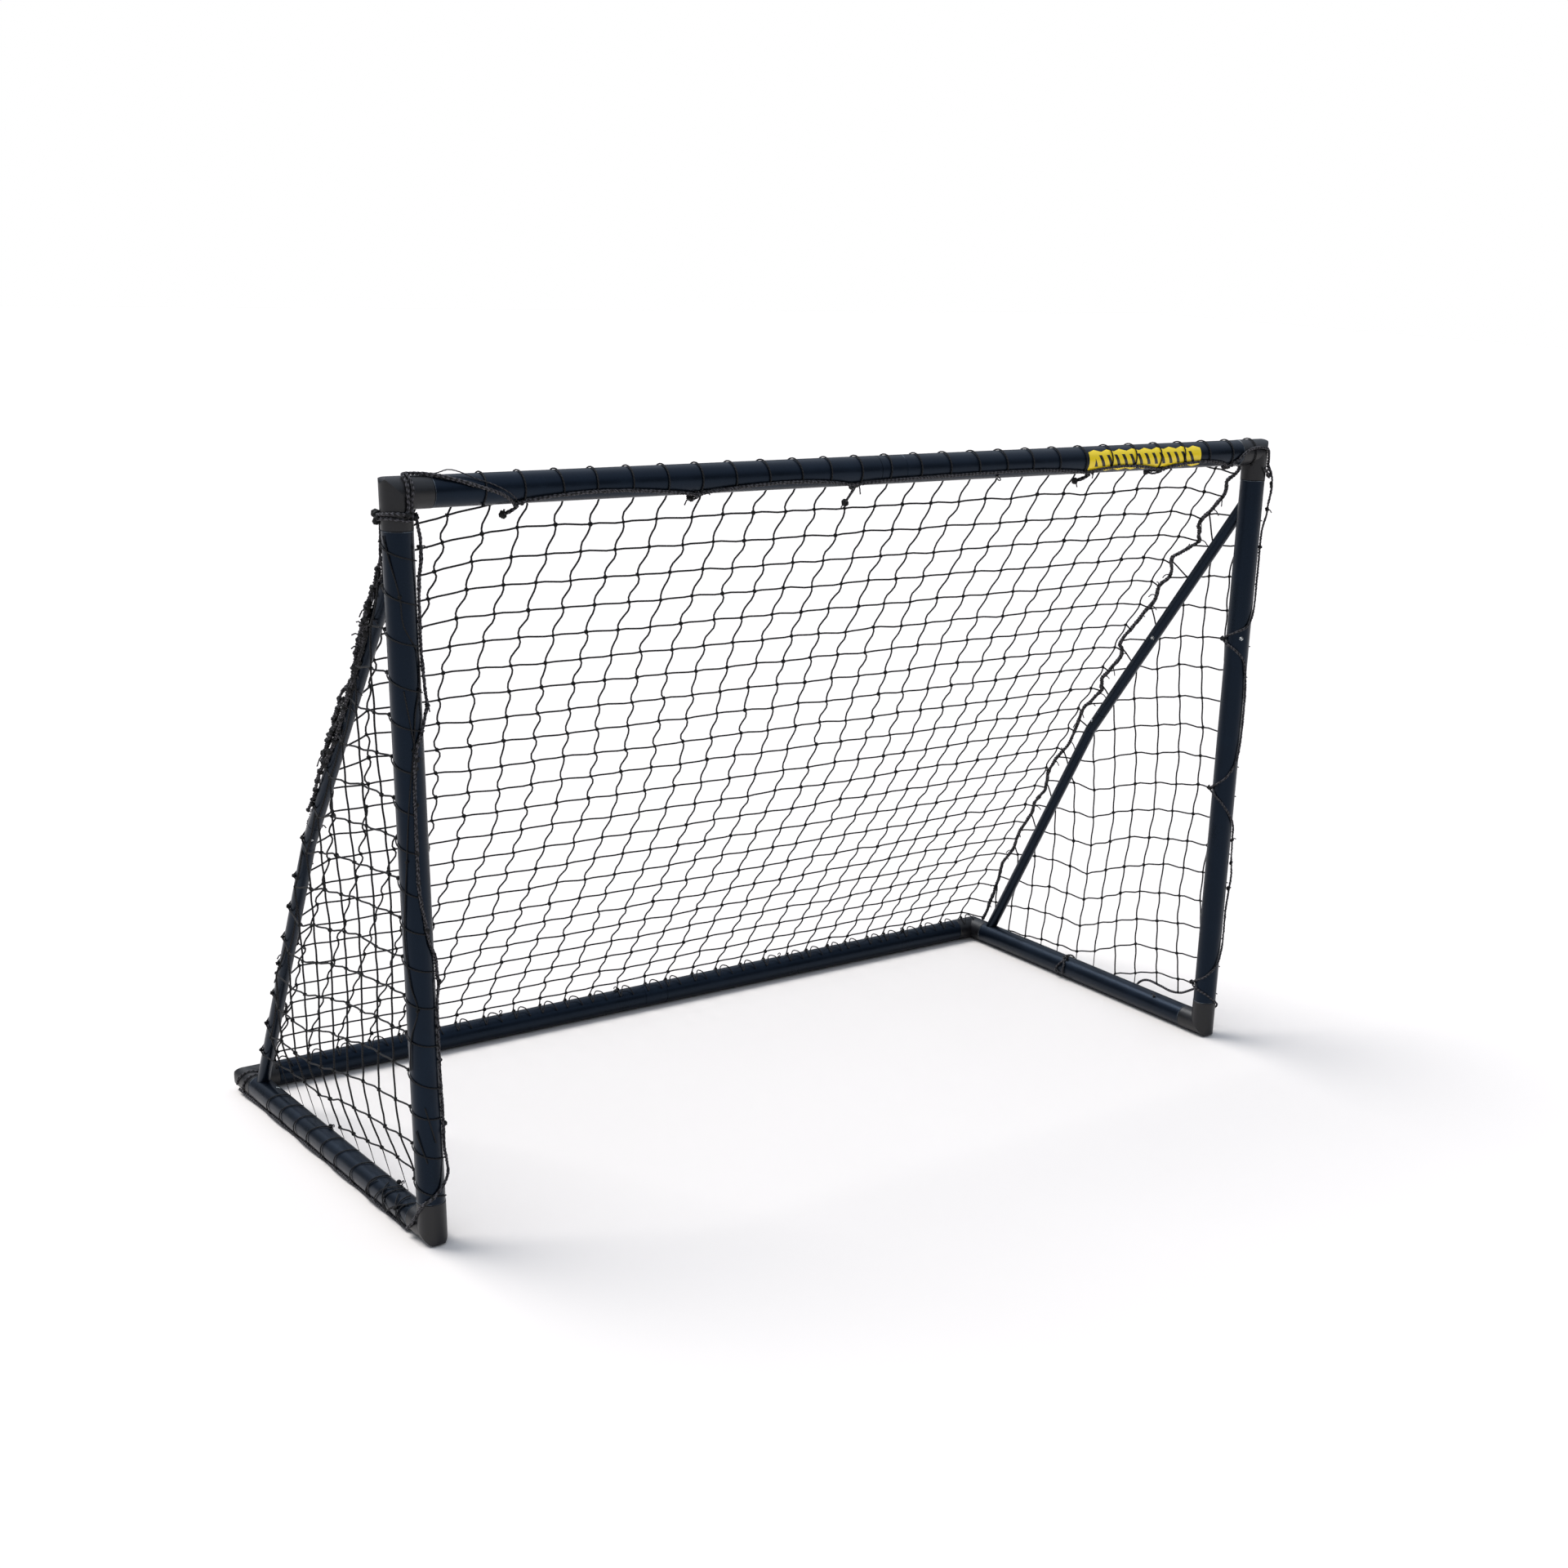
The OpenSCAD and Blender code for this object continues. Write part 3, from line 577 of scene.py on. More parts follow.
def slack(knots, facing, chance, wiggle, samples=6):
    # A line through knots that leaves each one on one side and meets the next on the other
    line = []
    for a, b in zip(knots, knots[1:]):
        along = b - a
        sideways = along.cross(facing).normalized()
        reach = wiggle * chance.uniform(0.55, 1.35) * along.length / 0.09
        bulge = wiggle * chance.uniform(-0.6, 0.6)
        for i in range(samples):
            t = i / samples
            swing = math.sin(2 * math.pi * t) * reach + math.sin(math.pi * t) * bulge
            lift = math.sin(math.pi * t) * wiggle * chance.uniform(-0.15, 0.15)
            line.append(a + along * t + sideways * swing + facing * lift)
    return line + [knots[-1].copy()]


def valueAt(places, at):  # the straight-line value between listed places, which rise
    for (place1, value1), (place2, value2) in zip(places, places[1:]):
        if at <= place2:
            return value1 + (value2 - value1) * (at - place1) / (place2 - place1)
    return places[-1][1]


backNet = {"rows": range(24), "first row": 0.063, "row pitch": 0.0839,
           "columns": range(-15, 16), "first column": -0.1, "column pitch": 0.0905,
           "wiggle": 0.0058, "drift": 0.105}


seams = {  # how far out each seam runs, at places down the slope: the two panels pull it to and fro
    1: ((0.0, 1.25), (0.10, 1.319), (0.13, 1.29), (0.18, 1.316), (0.26, 1.289), (0.28, 1.275),
        (0.35, 1.324), (0.41, 1.252), (0.48, 1.289), (0.52, 1.263), (0.57, 1.285), (0.68, 1.256),
        (0.74, 1.239), (0.80, 1.284), (0.89, 1.255), (0.95, 1.285), (1.02, 1.249), (1.18, 1.283),
        (1.24, 1.262), (1.30, 1.259), (1.39, 1.295), (1.45, 1.281), (1.51, 1.30), (1.60, 1.292),
        (1.68, 1.312), (1.75, 1.30), (1.82, 1.318), (1.9, 1.322), (2.1, 1.33)),
    -1: ((0.0, 1.26), (0.2, 1.27), (0.9, 1.262), (1.0, 1.25), (1.06, 1.238), (1.12, 1.252),
         (1.2, 1.244), (1.28, 1.26), (1.36, 1.248), (1.44, 1.262), (1.52, 1.27), (1.6, 1.256),
         (1.68, 1.25), (1.76, 1.268), (1.84, 1.262), (1.9, 1.276), (2.1, 1.285)),
}


def seamX(side, run):
    return valueAt(seams[side], run)


def seamPoint(side, run):
    if side > 0:  # the last of it hangs forward, to the foot of the strut
        return onBackNet(seamX(side, run), run, -0.003 - 0.03 * smooth(run, 1.75, 2.02))
    z = topZ + downSlope.z * run
    clear = onStrut(-1, min(z, strutTopZ), 105 + 28 * math.sin(11 * run), 0.003)
    return clear if z < strutTopZ else onPost(-1, z, -75, 0.003)


def rowRun(row, x):  # how far down the slope a row lies
    share = (row - 1) / 22
    spread = 0.05 * math.sin(math.pi * max(share, 0) ** 1.8)
    corner = 0.07 * (1 - smooth(x, -1.3, -0.95)) * max(0, 1 - row / 9)
    far = 0.03 * smooth(x, 1.12, 1.29) * max(0, 1 - row / 12)
    return backNet["first row"] + row * backNet["row pitch"] + spread + corner + far


def columnX(column, run):
    x = backNet["first column"] + column * backNet["column pitch"]
    x += 0.004 * smooth(run, 0.15, 0.24) - 0.034 * smooth(run, 0, 0.05)
    share = 1 - 0.85 * smooth(x, 0.3, 1.25)
    return x + backNet["drift"] * smooth(run, 0.48, 1.25) * share


def ropeTurn(x):  # where the border rope runs on the crossbar: pulled down at each hook
    hooks = crossbarHooks[:3] + crossbarHooks[4:]  # it rides over the fourth
    for a, b in zip(hooks, hooks[1:]):
        if a <= x <= b:
            t = (x - a) / (b - a)
            return 56 - 34 * math.sin(math.pi * t) ** 0.55 + 4 * math.sin(9 * x)
    return 56.0


def buildBackNet():
    chance = random.Random(11)
    drawn = Lines()
    knots = {}
    for row in backNet["rows"]:
        for column in backNet["columns"]:
            run = rowRun(row, columnX(column, rowRun(row, 0)))
            x = columnX(column, run) + chance.gauss(0, 0.0022)
            run += chance.gauss(0, 0.0018)
            if -seamX(-1, run) + 0.012 < x < seamX(1, run) - 0.012 and run < slopeRun:
                knots[row, column] = onBackNet(x, run, chance.gauss(0, 0.0015))
    for row in backNet["rows"]:
        inRow = sorted(column for (r, column) in knots if r == row)
        ends = [seamPoint(side, rowRun(row, side * 1.28) + 0.012) for side in (-1, 1)]
        line = [ends[0]] + [knots[row, column] for column in inRow] + [ends[1]]
        drawn.add(slack(line, offSlope, chance, 0.0014, 4))
    lift = netTwine["Twine diameter"] / 2 + 0.0004
    for column in backNet["columns"]:
        inColumn = sorted(row for (row, c) in knots if c == column)
        if not inColumn:
            continue
        points = [knots[row, column] for row in inColumn]
        first, last = inColumn[0], inColumn[-1]
        if first == 0:
            top = columnX(column, 0)
            front = top + chance.gauss(0, 0.003)
            over = []
            for i in range(13):
                t = i / 12
                turn = ropeTurn(front) * (1 - t) - 146.7 * t
                over.append(onCrossbar(front + (top - front) * smooth(t, 0, 0.6), turn, lift))
            if column > -12:  # the first two hang from the rope behind the bar
                drawn.add(over, 0.75)
                drawn.knot(onCrossbar(front, ropeTurn(front), lift + 0.001), 0.8)
            midway = (over[-1] + points[0]) / 2 - Vector((0.008, 0, 0))
            drawn.add(bent([over[-1], midway, points[0]], 0.012))
        else:
            run = rowRun(first, -1.28) - 0.05
            side = 1 if points[0].x > 0 else -1
            points.insert(0, seamPoint(side, run))
        drawn.add(slack(points, offSlope, chance, backNet["wiggle"]))
        if last == backNet["rows"][-1]:
            addBackBarLoop(drawn, points[-1], lift, chance)
        else:
            run = rowRun(last, 1.28) + 0.05
            side = 1 if points[-1].x > 0 else -1
            drawn.add(slack([points[-1], seamPoint(side, run)], offSlope, chance, 0.003))
    for point in knots.values():
        drawn.knot(point, chance.uniform(0.85, 1.15))
    piece = grow("net_back_panel", drawn, twine, netTwine)
    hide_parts("net_back")


def addBackBarLoop(drawn, start, lift, chance):
    # The last twine of a column goes over the back bar and stands up in a small open loop
    x = start.x + chance.gauss(0, 0.003)
    wide = chance.uniform(0.026, 0.036)
    arch = [(-0.012, 138, 0.0), (-0.006, 124, 0.004), (0.002, 104, 0.009), (wide * 0.45, 94, 0.011),
            (wide * 0.85, 104, 0.008), (wide, 124, 0.003), (wide + 0.004, 142, 0.0)]
    drawn.add(bent([start, onBackBar(x - 0.004, 78, lift), onBackBar(x - 0.010, 108, lift)]
                   + [onBackBar(x + along, turn, lift + high) for along, turn, high in arch],
                   0.006), 0.8)
    drawn.add(bent([start] + [onBackBar(x, turn, lift) for turn in (60, 30, 0, -30)], 0.01), 0.8)
    drawn.knot(onBackBar(x - 0.004, 84, lift + 0.001), 0.9)


buildBackNet()


sideNet = {"rows": range(-1, 19), "first row": 0.078, "row pitch": 0.0922,
           "columns": range(12), "first column": 0.07, "column pitch": 0.0895,
           "wiggle": 0.0022, "rise": 0.115}


def sideRowZ(row, depth, side):  # rows climb towards the post and are level behind the hook
    rise = sideNet["rise"] * (1.1 if side > 0 else 0.75)
    climb = rise * max(0, 1 - (depth / 0.6) ** 2) - 0.025 * smooth(depth, 0.75, 0.98)
    near = 1 - smooth(depth, 0.3, 0.6) if side > 0 else 0
    return (sideNet["first row"] + 0.02 * near + row * (sideNet["row pitch"] - 0.0034 * near)
            + climb)


def seamPlace(run):  # depth and height of the corner where the two panels meet
    place = onBackNet(0, run, -0.003)
    return place.y - frontY, place.z


def seamRunAt(test):  # the way down the slope where a falling test first fails
    low, high = 0.0, slopeRun
    for _ in range(30):
        between = (low + high) / 2
        if test(*seamPlace(between)):
            low = between
        else:
            high = between
    return low


leftRopeTurns = ((0.0, 120), (0.2, 141), (0.42, 136), (0.58, 139), (0.70, 141), (0.755, 109),
                 (0.807, 94), (0.885, 78), (1.0, 78), (1.2, 92), (1.27, 141), (1.60, 141),
                 (1.70, 150))  # height, and the turn of the border rope down the left post
sagging = ((0.03, 0.14), (0.06, 0.128), (0.088, 0.112), (0.115, 0.096), (0.142, 0.083),
           (0.183, 0.076), (0.229, 0.079), (0.274, 0.082), (0.30, 0.078), (0.319, 0.068),
           (0.335, 0.052))  # depth and height of the right border rope's slack front end


def buildSideNet(side, name, node, seed):
    chance = random.Random(seed)
    drawn = Lines()
    out = Vector((side, 0, 0))
    lift = netTwine["Twine diameter"] / 2 + 0.0004
    knots = {}
    for row in sideNet["rows"]:
        for column in sideNet["columns"]:
            depth = sideNet["first column"] + column * sideNet["column pitch"]
            depth += 0.018 * math.sin(2.2 * row * sideNet["row pitch"] * math.pi + column * 0.3)
            depth += chance.gauss(0, 0.002)
            z = sideRowZ(row, depth, side) + chance.gauss(0, 0.003)
            if side < 0:  # the left panel is drawn tight against the strut
                edge = onStrut(-1, min(z, strutTopZ), 0).y - frontY
            else:
                edge = seamPlace(seamRunAt(lambda d, h: h > z))[0]
            if depth < edge - 0.02 and z > (0.085 if side < 0 else 0.05):
                bulge = 0.004 * math.sin(math.pi * min(1, z / 1.6)) * chance.uniform(-0.6, 0.6)
                if side < 0:  # the lowest meshes are pulled in over the ground bar
                    bulge -= 0.045 * (1 - smooth(z, 0.08, 0.3))
                knots[row, column] = onSideNet(side, depth, z, bulge)
    for row in sideNet["rows"]:
        inRow = sorted(column for (r, column) in knots if r == row)
        z = sideRowZ(row, 0, side)
        if z > topZ - 0.1 or z < 0.13:
            continue
        line = [knots[row, column] for column in inRow]
        if line:
            depth = line[-1].y - frontY
            run = seamRunAt(lambda d, h: h > sideRowZ(row, min(d, 1.05), side))
            if run < slopeRun - 0.02 and side > 0:
                line.append(seamPoint(side, run))
            elif run < slopeRun - 0.02:
                height = min(line[-1].z + 0.01, 1.58)
                rise = chance.uniform(0.0, 0.02)
                drawn.add([line[-1]] + [onStrut(side, height + rise * t, turn, lift + 0.0006)
                                        for t, turn in ((0.0, -25), (0.3, 5), (0.6, 35), (0.8, 65),
                                                        (1.0, 92))]
                          + [seamPoint(side, run)])
                drawn.knot(onStrut(side, height + rise / 2, 20, lift + 0.001), 1.1)
        front = onPost(side, z, -38, lift)
        if line:
            drawn.add(slack([front] + line, out, chance, 0.002, 4))
        wrapEnd = valueAt(leftRopeTurns, z) if side < 0 else 39
        drop = chance.uniform(0.022, 0.042) if side < 0 else 0.004
        wrap = []
        for i in range(11):
            t = i / 10
            wrap.append(onPost(side, z - drop * t - 0.004 * math.sin(math.pi * t),
                               -38 + (wrapEnd + 38) * t, lift))
        drawn.add(wrap, 0.75)
        drawn.knot(wrap[0], 1.0)
    for column in sideNet["columns"]:
        inColumn = sorted(row for (row, c) in knots if c == column)
        if not inColumn:
            continue
        points = [knots[row, column] for row in reversed(inColumn)]
        depth = points[0].y - frontY
        run = seamRunAt(lambda d, h: d < depth)
        points.insert(0, seamPoint(side, run))
        low = points[-1]
        depth = low.y - frontY
        lean = chance.uniform(0.02, 0.045) if side < 0 else 0.01
        if side < 0 or depth > 0.34:
            start = 118 if side < 0 else 20
            wrap = [onSideBar(side, depth + lean * smooth(i, 0, 8), start - (start + 46) * i / 12, lift)
                    for i in range(13)]
            drawn.add([low] + wrap, 0.65)
        else:
            drawn.add([low, onSideNet(1, depth - 0.004, valueAt(sagging, depth))])
        points = slack(points, out, chance, sideNet["wiggle"])
        drawn.add(points)
    for point in knots.values():
        drawn.knot(point, chance.uniform(0.85, 1.15))
    if side < 0:
        addLeftPostColumn(drawn, lift)
        addBarTangle(drawn, lift)
    piece = grow(name, drawn, twine, netTwine)
    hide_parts(node)


def addLeftPostColumn(drawn, lift):
    # One column of the left panel has been pulled round onto the post's face
    turns = [(1.655, 10), (1.60, 35), (1.53, 62), (1.47, 70), (1.41, 118), (1.36, 124), (1.33, 118),
             (1.28, 96), (1.20, 84), (1.12, 66), (1.04, 52), (0.95, 40), (0.86, 26), (0.76, 14),
             (0.66, 30), (0.60, 52), (0.53, 20), (0.45, 8)]
    drawn.add(bent([onPost(-1, z, turn, lift) for z, turn in turns], 0.012), 0.7)
    for z, turn in ((1.53, 62), (1.33, 120), (1.20, 84), (0.95, 40), (0.60, 52)):
        drawn.knot(onPost(-1, z, turn, lift), 0.9)
    for z1, turn1, z2, turn2 in ((1.19, 92, 1.33, 60), (0.30, 20, 0.22, 60), (0.36, 60, 0.27, 95)):
        line = [onPost(-1, z1 + (z2 - z1) * t / 8, turn1 + (turn2 - turn1) * t / 8, lift)
                for t in range(9)]
        drawn.add(line, 0.7)


def addBarTangle(drawn, lift):
    # Crossed twines where the left panel's front corner is gathered over the ground bar
    crossings = [(0.09, 60, 0.20, -50), (0.12, 95, 0.11, -50), (0.15, 70, 0.075, -45),
                 (0.17, 110, 0.26, -52), (0.22, 80, 0.16, -50), (0.26, 60, 0.30, -48)]
    for depth1, turn1, depth2, turn2 in crossings:
        line = []
        for i in range(11):
            t = i / 10
            line.append(onSideBar(-1, depth1 + (depth2 - depth1) * t + 0.006 * math.sin(3 * t),
                                  turn1 + (turn2 - turn1) * t, lift + 0.001))
        drawn.add(line, 0.7)
    drawn.knot(onSideBar(-1, 0.125, 20, lift + 0.002), 1.1)


buildSideNet(-1, "net_left_panel", "net_side_left", 23)
buildSideNet(1, "net_right_panel", "net_side_right", 31)
print("net knotted")


def roughen(points, amount, chance):
    return [point + Vector([chance.uniform(-amount, amount) for _ in range(3)])
            for point in points]


def finishRope(name, drawn, *nodes):
    piece = grow(name, drawn, rope, borderRope)
    if nodes:
        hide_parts(*nodes)


ropeLift = borderRope["Rope diameter"] / 2 + 0.0003


def lumpy(line, chance, spread):  # a girth for every point: a used rope is thick and thin by turns
    girths, girth = [], 1.0
    for _ in line:
        girth = 0.7 * girth + 0.3 * chance.uniform(1 - spread, 1 + spread)
        girths.append(girth)
    return girths


def fray(drawn, point, chance, reach):  # a short cut end standing off a knot
    away = Vector([chance.uniform(-1, 1) for _ in range(3)]).normalized()
    drawn.add(bent([point, point + away * reach * 0.6,
                    point + away * reach - Vector((0, 0, reach * 0.35))], 0.004), 0.42)


def buildCrossbarRope():
    chance = random.Random(3)
    drawn = Lines()
    left, right = crossbarHooks[0], crossbarHooks[-1]
    neckZ = topZ - 0.042
    points = [onPost(-1, neckZ + 0.004 * math.sin(turn / 40), turn, ropeLift)
              for turn in range(-60, 104, 12)]
    points += [onPost(-1, z, 105, ropeLift) for z in (neckZ + 0.014, topZ - 0.014)]
    points += [onCrossbar(-1.279, turn, ropeLift) for turn in (-16, -34, -52, -70)]
    points += [onCrossbar(x, turn, ropeLift) for x, turn in
               ((-1.268, -84), (-1.235, -80), (-1.20, -62), (-1.168, -43), (-1.116, -16),
                (-1.065, 10), (-1.04, 34))]
    count = 120
    for i in range(count + 1):
        x = left + (right - left) * i / count
        points.append(onCrossbar(x, ropeTurn(x), ropeLift + chance.uniform(0, 0.001)))
    points += [onCrossbar(x, turn, ropeLift) for x, turn in
               ((1.185, 30), (1.205, 2), (1.235, -18), (1.27, -24), (1.30, -16))]
    points += [onPost(1, topZ - 0.012, 52, ropeLift), onPost(1, topZ - 0.04, 38, ropeLift)]
    line = bent(points, 0.004)
    drawn.add(line, lumpy(line, chance, 0.3))
    # A second turn lies beside the first, round the corner's leg and its neck
    beside = [onCrossbar(-1.268, turn, ropeLift + 0.001) for turn in (-84, -60, -36, -14)]
    beside += [onPost(-1, z, 118, ropeLift + 0.001) for z in (topZ - 0.012, neckZ + 0.012)]
    beside += [onPost(-1, neckZ - 0.009 + 0.003 * math.sin(turn / 25), turn, ropeLift)
               for turn in range(118, -230, -12)]
    drawn.add(bent(beside, 0.004), 0.9)
    for z, turn, size in ((neckZ, -28, 1.5), (neckZ - 0.016, -34, 1.3), (neckZ - 0.006, -5, 1.1),
                          (neckZ, 100, 1.1), (neckZ - 0.004, 132, 1.2)):
        drawn.knot(onPost(-1, z, turn, ropeLift + 0.003), size)
    thin = [onCrossbar(x, turn, lift) for x, turn, lift in
            ((-1.25, -84, 0.003), (-1.20, -88, 0.003), (-1.172, -84, 0.010), (-1.15, -72, 0.008),
             (-1.12, -46, 0.003), (-1.08, -20, 0.003), (-1.045, 8, 0.003), (left, 34, 0.003))]
    drawn.add(bent(thin, 0.004), 0.34)  # a loose twine end beside it
    for x in crossbarHooks[:3] + crossbarHooks[4:]:
        drawn.knot(onCrossbar(x + 0.004, 62, ropeLift), 1.0)
        drawn.knot(onCrossbar(x + 0.016, 52, ropeLift), 0.8)
        fray(drawn, onCrossbar(x + 0.02, 46, ropeLift), chance, 0.018)
    finishRope("rope_over_crossbar", drawn, "rope_crossbar")


def buildPostRopes():
    chance = random.Random(8)
    drawn = Lines()
    places = [(1.70, 152, 0.003), (1.67, 148, 0.008), (1.64, 144, 0.013), (1.60, 141, 0.012),
              (1.555, 141, 0.006), (1.485, 141, 0.001), (1.41, 140, 0.004), (1.37, 140, 0.006),
              (1.32, 140, 0.009), (1.295, 140, 0.011), (1.27, 137, 0.006), (1.235, 116, 0.0),
              (1.20, 92, 0.0), (1.12, 80, 0.0), (1.0, 77, 0.0), (0.885, 78, 0.0),
              (0.807, 94, 0.0), (0.755, 109, 0.0), (0.72, 135, 0.0), (0.68, 141, 0.005),
              (0.655, 139, 0.008), (0.615, 134, 0.002), (0.55, 130, 0.0), (0.49, 129, 0.0),
              (0.415, 130, 0.0), (0.365, 134, 0.002), (0.31, 137, 0.004), (0.25, 136, 0.0),
              (0.215, 141, 0.007), (0.185, 132, 0.011), (0.155, 108, 0.005), (0.13, 70, 0.0),
              (0.108, 30, 0.0)]
    points = [onPost(-1, z, turn, ropeLift + max(0, lift - 0.004)) for z, turn, lift in places]
    points.append(onSideBar(-1, 0.03, 20, ropeLift))
    points.append(onSideBar(-1, 0.06, -20, ropeLift))
    line = roughen(bent(points, 0.004), 0.0004, chance)
    drawn.add(line, lumpy(line, chance, 0.35))
    for z, turn, lift in ((1.63, 142, 0.006), (1.295, 141, 0.008), (0.66, 141, 0.005),
                          (0.31, 141, 0.002), (1.18, 90, 0.001), (0.79, 98, 0.001)):
        drawn.knot(onPost(-1, z, turn, ropeLift + lift), 1.0)
        fray(drawn, onPost(-1, z, turn, ropeLift + lift), chance, 0.02)
    for z in (1.16, 1.08, 0.97, 0.9, 0.55, 0.47):
        drawn.knot(onPost(-1, z, valueAt(leftRopeTurns, z), ropeLift), 0.75)
    finishRope("rope_down_left_post", drawn, "rope_post_left")

    drawn = Lines()
    high, mid, low = postHooks[2], postHooks[1], postHooks[0]
    places = [(topZ - 0.03, 40, 0.0), (1.695, 36, 0.006), (1.68, 38, 0.013), (1.655, 39, 0.017),
              (1.63, 39, 0.016), (1.60, 39, 0.012), (1.57, 39, 0.010), (1.545, 39, 0.004),
              (1.51, 39, 0.0), (1.43, 41, 0.0), (1.36, 41, 0.0), (1.33, 44, 0.0), (1.29, 70, 0.0),
              (1.26, 100, 0.0), (high + 0.022, 150, 0.0), (high + 0.008, 196, 0.001),
              (high - 0.004, 210, 0.004), (high - 0.012, 196, 0.001), (high - 0.03, 140, 0.0),
              (high - 0.06, 100, 0.0), (high - 0.11, 80, 0.0), (high - 0.16, 70, 0.0),
              (high - 0.22, 66, 0.0), (high - 0.30, 72, 0.0), (high - 0.36, 92, 0.0),
              (mid + 0.04, 130, 0.0), (mid + 0.012, 180, 0.001), (mid - 0.002, 210, 0.004),
              (mid - 0.014, 190, 0.001), (mid - 0.04, 140, 0.0), (mid - 0.075, 100, 0.0),
              (mid - 0.11, 66, 0.0), (mid - 0.16, 44, 0.0), (mid - 0.22, 39, 0.003),
              (mid - 0.27, 39, 0.007), (mid - 0.33, 39, 0.003), (0.40, 39, 0.0), (0.34, 45, 0.0),
              (0.28, 62, 0.0), (0.235, 92, 0.0), (low + 0.03, 140, 0.0), (low + 0.01, 190, 0.001),
              (low - 0.002, 212, 0.004), (low - 0.014, 190, 0.001), (low - 0.03, 130, 0.0),
              (low - 0.05, 90, 0.0), (0.102, 52, 0.0), (0.085, 20, 0.0), (0.072, -10, 0.0)]
    points = [onPost(1, z, turn, ropeLift + lift) for z, turn, lift in places]
    line = roughen(bent(points, 0.004), 0.0004, chance)
    drawn.add(line, [0.8 * girth for girth in lumpy(line, chance, 0.35)])
    bunch = [(topZ - 0.045, 60, 0.002), (1.695, 50, 0.003), (1.685, 36, 0.010), (1.672, 39, 0.006),
             (1.685, 66, 0.003), (1.70, 90, 0.002)]
    drawn.add(bent([onPost(1, z, turn, ropeLift + lift) for z, turn, lift in bunch], 0.004), 0.9)
    for z, turn, lift in ((1.695, 42, 0.004), (1.68, 52, 0.003), (1.655, 38, 0.015),
                          (1.585, 39, 0.010), (1.48, 39, 0.0), (0.62, 39, 0.0), (0.55, 39, 0.003),
                          (0.47, 39, 0.002)):
        drawn.knot(onPost(1, z, turn, ropeLift + lift), 1.0)
        fray(drawn, onPost(1, z, turn, ropeLift + lift), chance, 0.016)
    for z in (high, mid, low):
        drawn.knot(onPost(1, z - 0.003, 222, ropeLift + 0.006), 1.0)
        drawn.knot(onPost(1, z - 0.001, 206, ropeLift + 0.004), 0.85)
    finishRope("rope_down_right_post", drawn, "rope_post_right")


def buildGroundRopes():
    chance = random.Random(14)
    for side, name, node in ((-1, "rope_left_ground_bar", "rope_side_left"),
                             (1, "rope_right_ground_bar", "rope_side_right")):
        drawn = Lines()
        points = []
        start = 0.08 if side < 0 else 0.36
        if side > 0:
            points += [onSideNet(1, depth, z, 0.003) for depth, z in sagging]
            drawn.knot(points[1], 0.8)
        depth = start
        while depth < goalDepth - 0.09:
            wave = 7 * math.sin(depth * 31) + chance.uniform(-2, 2)
            points.append(onSideBar(side, depth, -42 + wave, ropeLift))
            depth += 0.03
        points.append(onSideBar(side, goalDepth - 0.05, -35, ropeLift))
        points.append(onSideBar(side, goalDepth - 0.01, -30, ropeLift))
        drawn.add(bent(points, 0.004))
        hooked = sideHooks[1]
        if side > 0:  # a tie up the outside to the hook and down the inside, and its loose end
            for tie in (((0.016, -20), (0.016, 20), (0.016, 60), (0.016, 100), (0.016, 118),
                         (-0.004, 150), (-0.004, 180), (-0.004, 205)),
                        ((0.004, 128), (0.018, 160), (0.03, 190), (0.02, 212))):
                drawn.add(bent([onSideBar(side, hooked + along, turn, ropeLift)
                                for along, turn in tie], 0.004), 0.75)
        drawn.knot(onSideBar(side, hooked + 0.002, 112, ropeLift + 0.003), 0.9)
        if side < 0:
            drawn.knot(onSideBar(side, sideHooks[0] + 0.004, 108, ropeLift + 0.003), 0.9)
            addCornerWraps(drawn)
        finishRope(name, drawn, node)

    drawn = Lines()
    points = []
    x = -postX + 0.09
    while x < postX - 0.085:
        points.append(onBackBar(x, -40 + 6 * math.sin(x * 23) + chance.uniform(-2, 2), ropeLift))
        x += 0.04
    drawn.add(bent(points, 0.004))
    finishRope("rope_back_ground_bar", drawn, "rope_back_bar")


def addCornerWraps(drawn):  # rope ends taken round the back left corner
    leg = goalDepth - 0.05
    for start, end, turns in ((leg, leg + 0.05, (110, 80, 50, 20, -15)),
                              (leg - 0.03, leg + 0.015, (120, 90, 60, 30, -10, -40))):
        count = len(turns)
        drawn.add(bent([onSideBar(-1, start + (end - start) * i / (count - 1), turn, ropeLift * 0.7)
                        for i, turn in enumerate(turns)], 0.004), 0.6)


def buildSeamRopes():
    for side, name, node, seed in ((-1, "seam_rope_left_corner", "seam_rope_left", 17),
                                   (1, "seam_rope_right_corner", "seam_rope_right", 19)):
        chance = random.Random(seed)
        drawn = Lines()
        points = []
        run = 0.07 if side > 0 else 0.98
        while run < slopeRun - 0.012:
            points.append(seamPoint(side, run) + downSlope * chance.uniform(-0.006, 0.006)
                          + offSlope * chance.uniform(-0.002, 0.001))
            run += 0.02
        if side > 0:
            points = [onCrossbar(crossbarHooks[-1] + shift, turn, 0.006)
                      for shift, turn in ((0.004, 78), (0.03, 120))] + points
        line = bent(points, 0.004)
        drawn.add(line, [1.45 * girth for girth in lumpy(line, chance, 0.4)])
        for i in range(9, len(line), 11):
            if chance.random() < 0.8:
                drawn.knot(line[i], chance.uniform(0.7, 1.15))
                fray(drawn, line[i], chance, chance.uniform(0.014, 0.028))
        if side < 0:
            addBunch(drawn, chance)
            addSlackLoops(drawn, chance)
        finishRope(name, drawn, node)


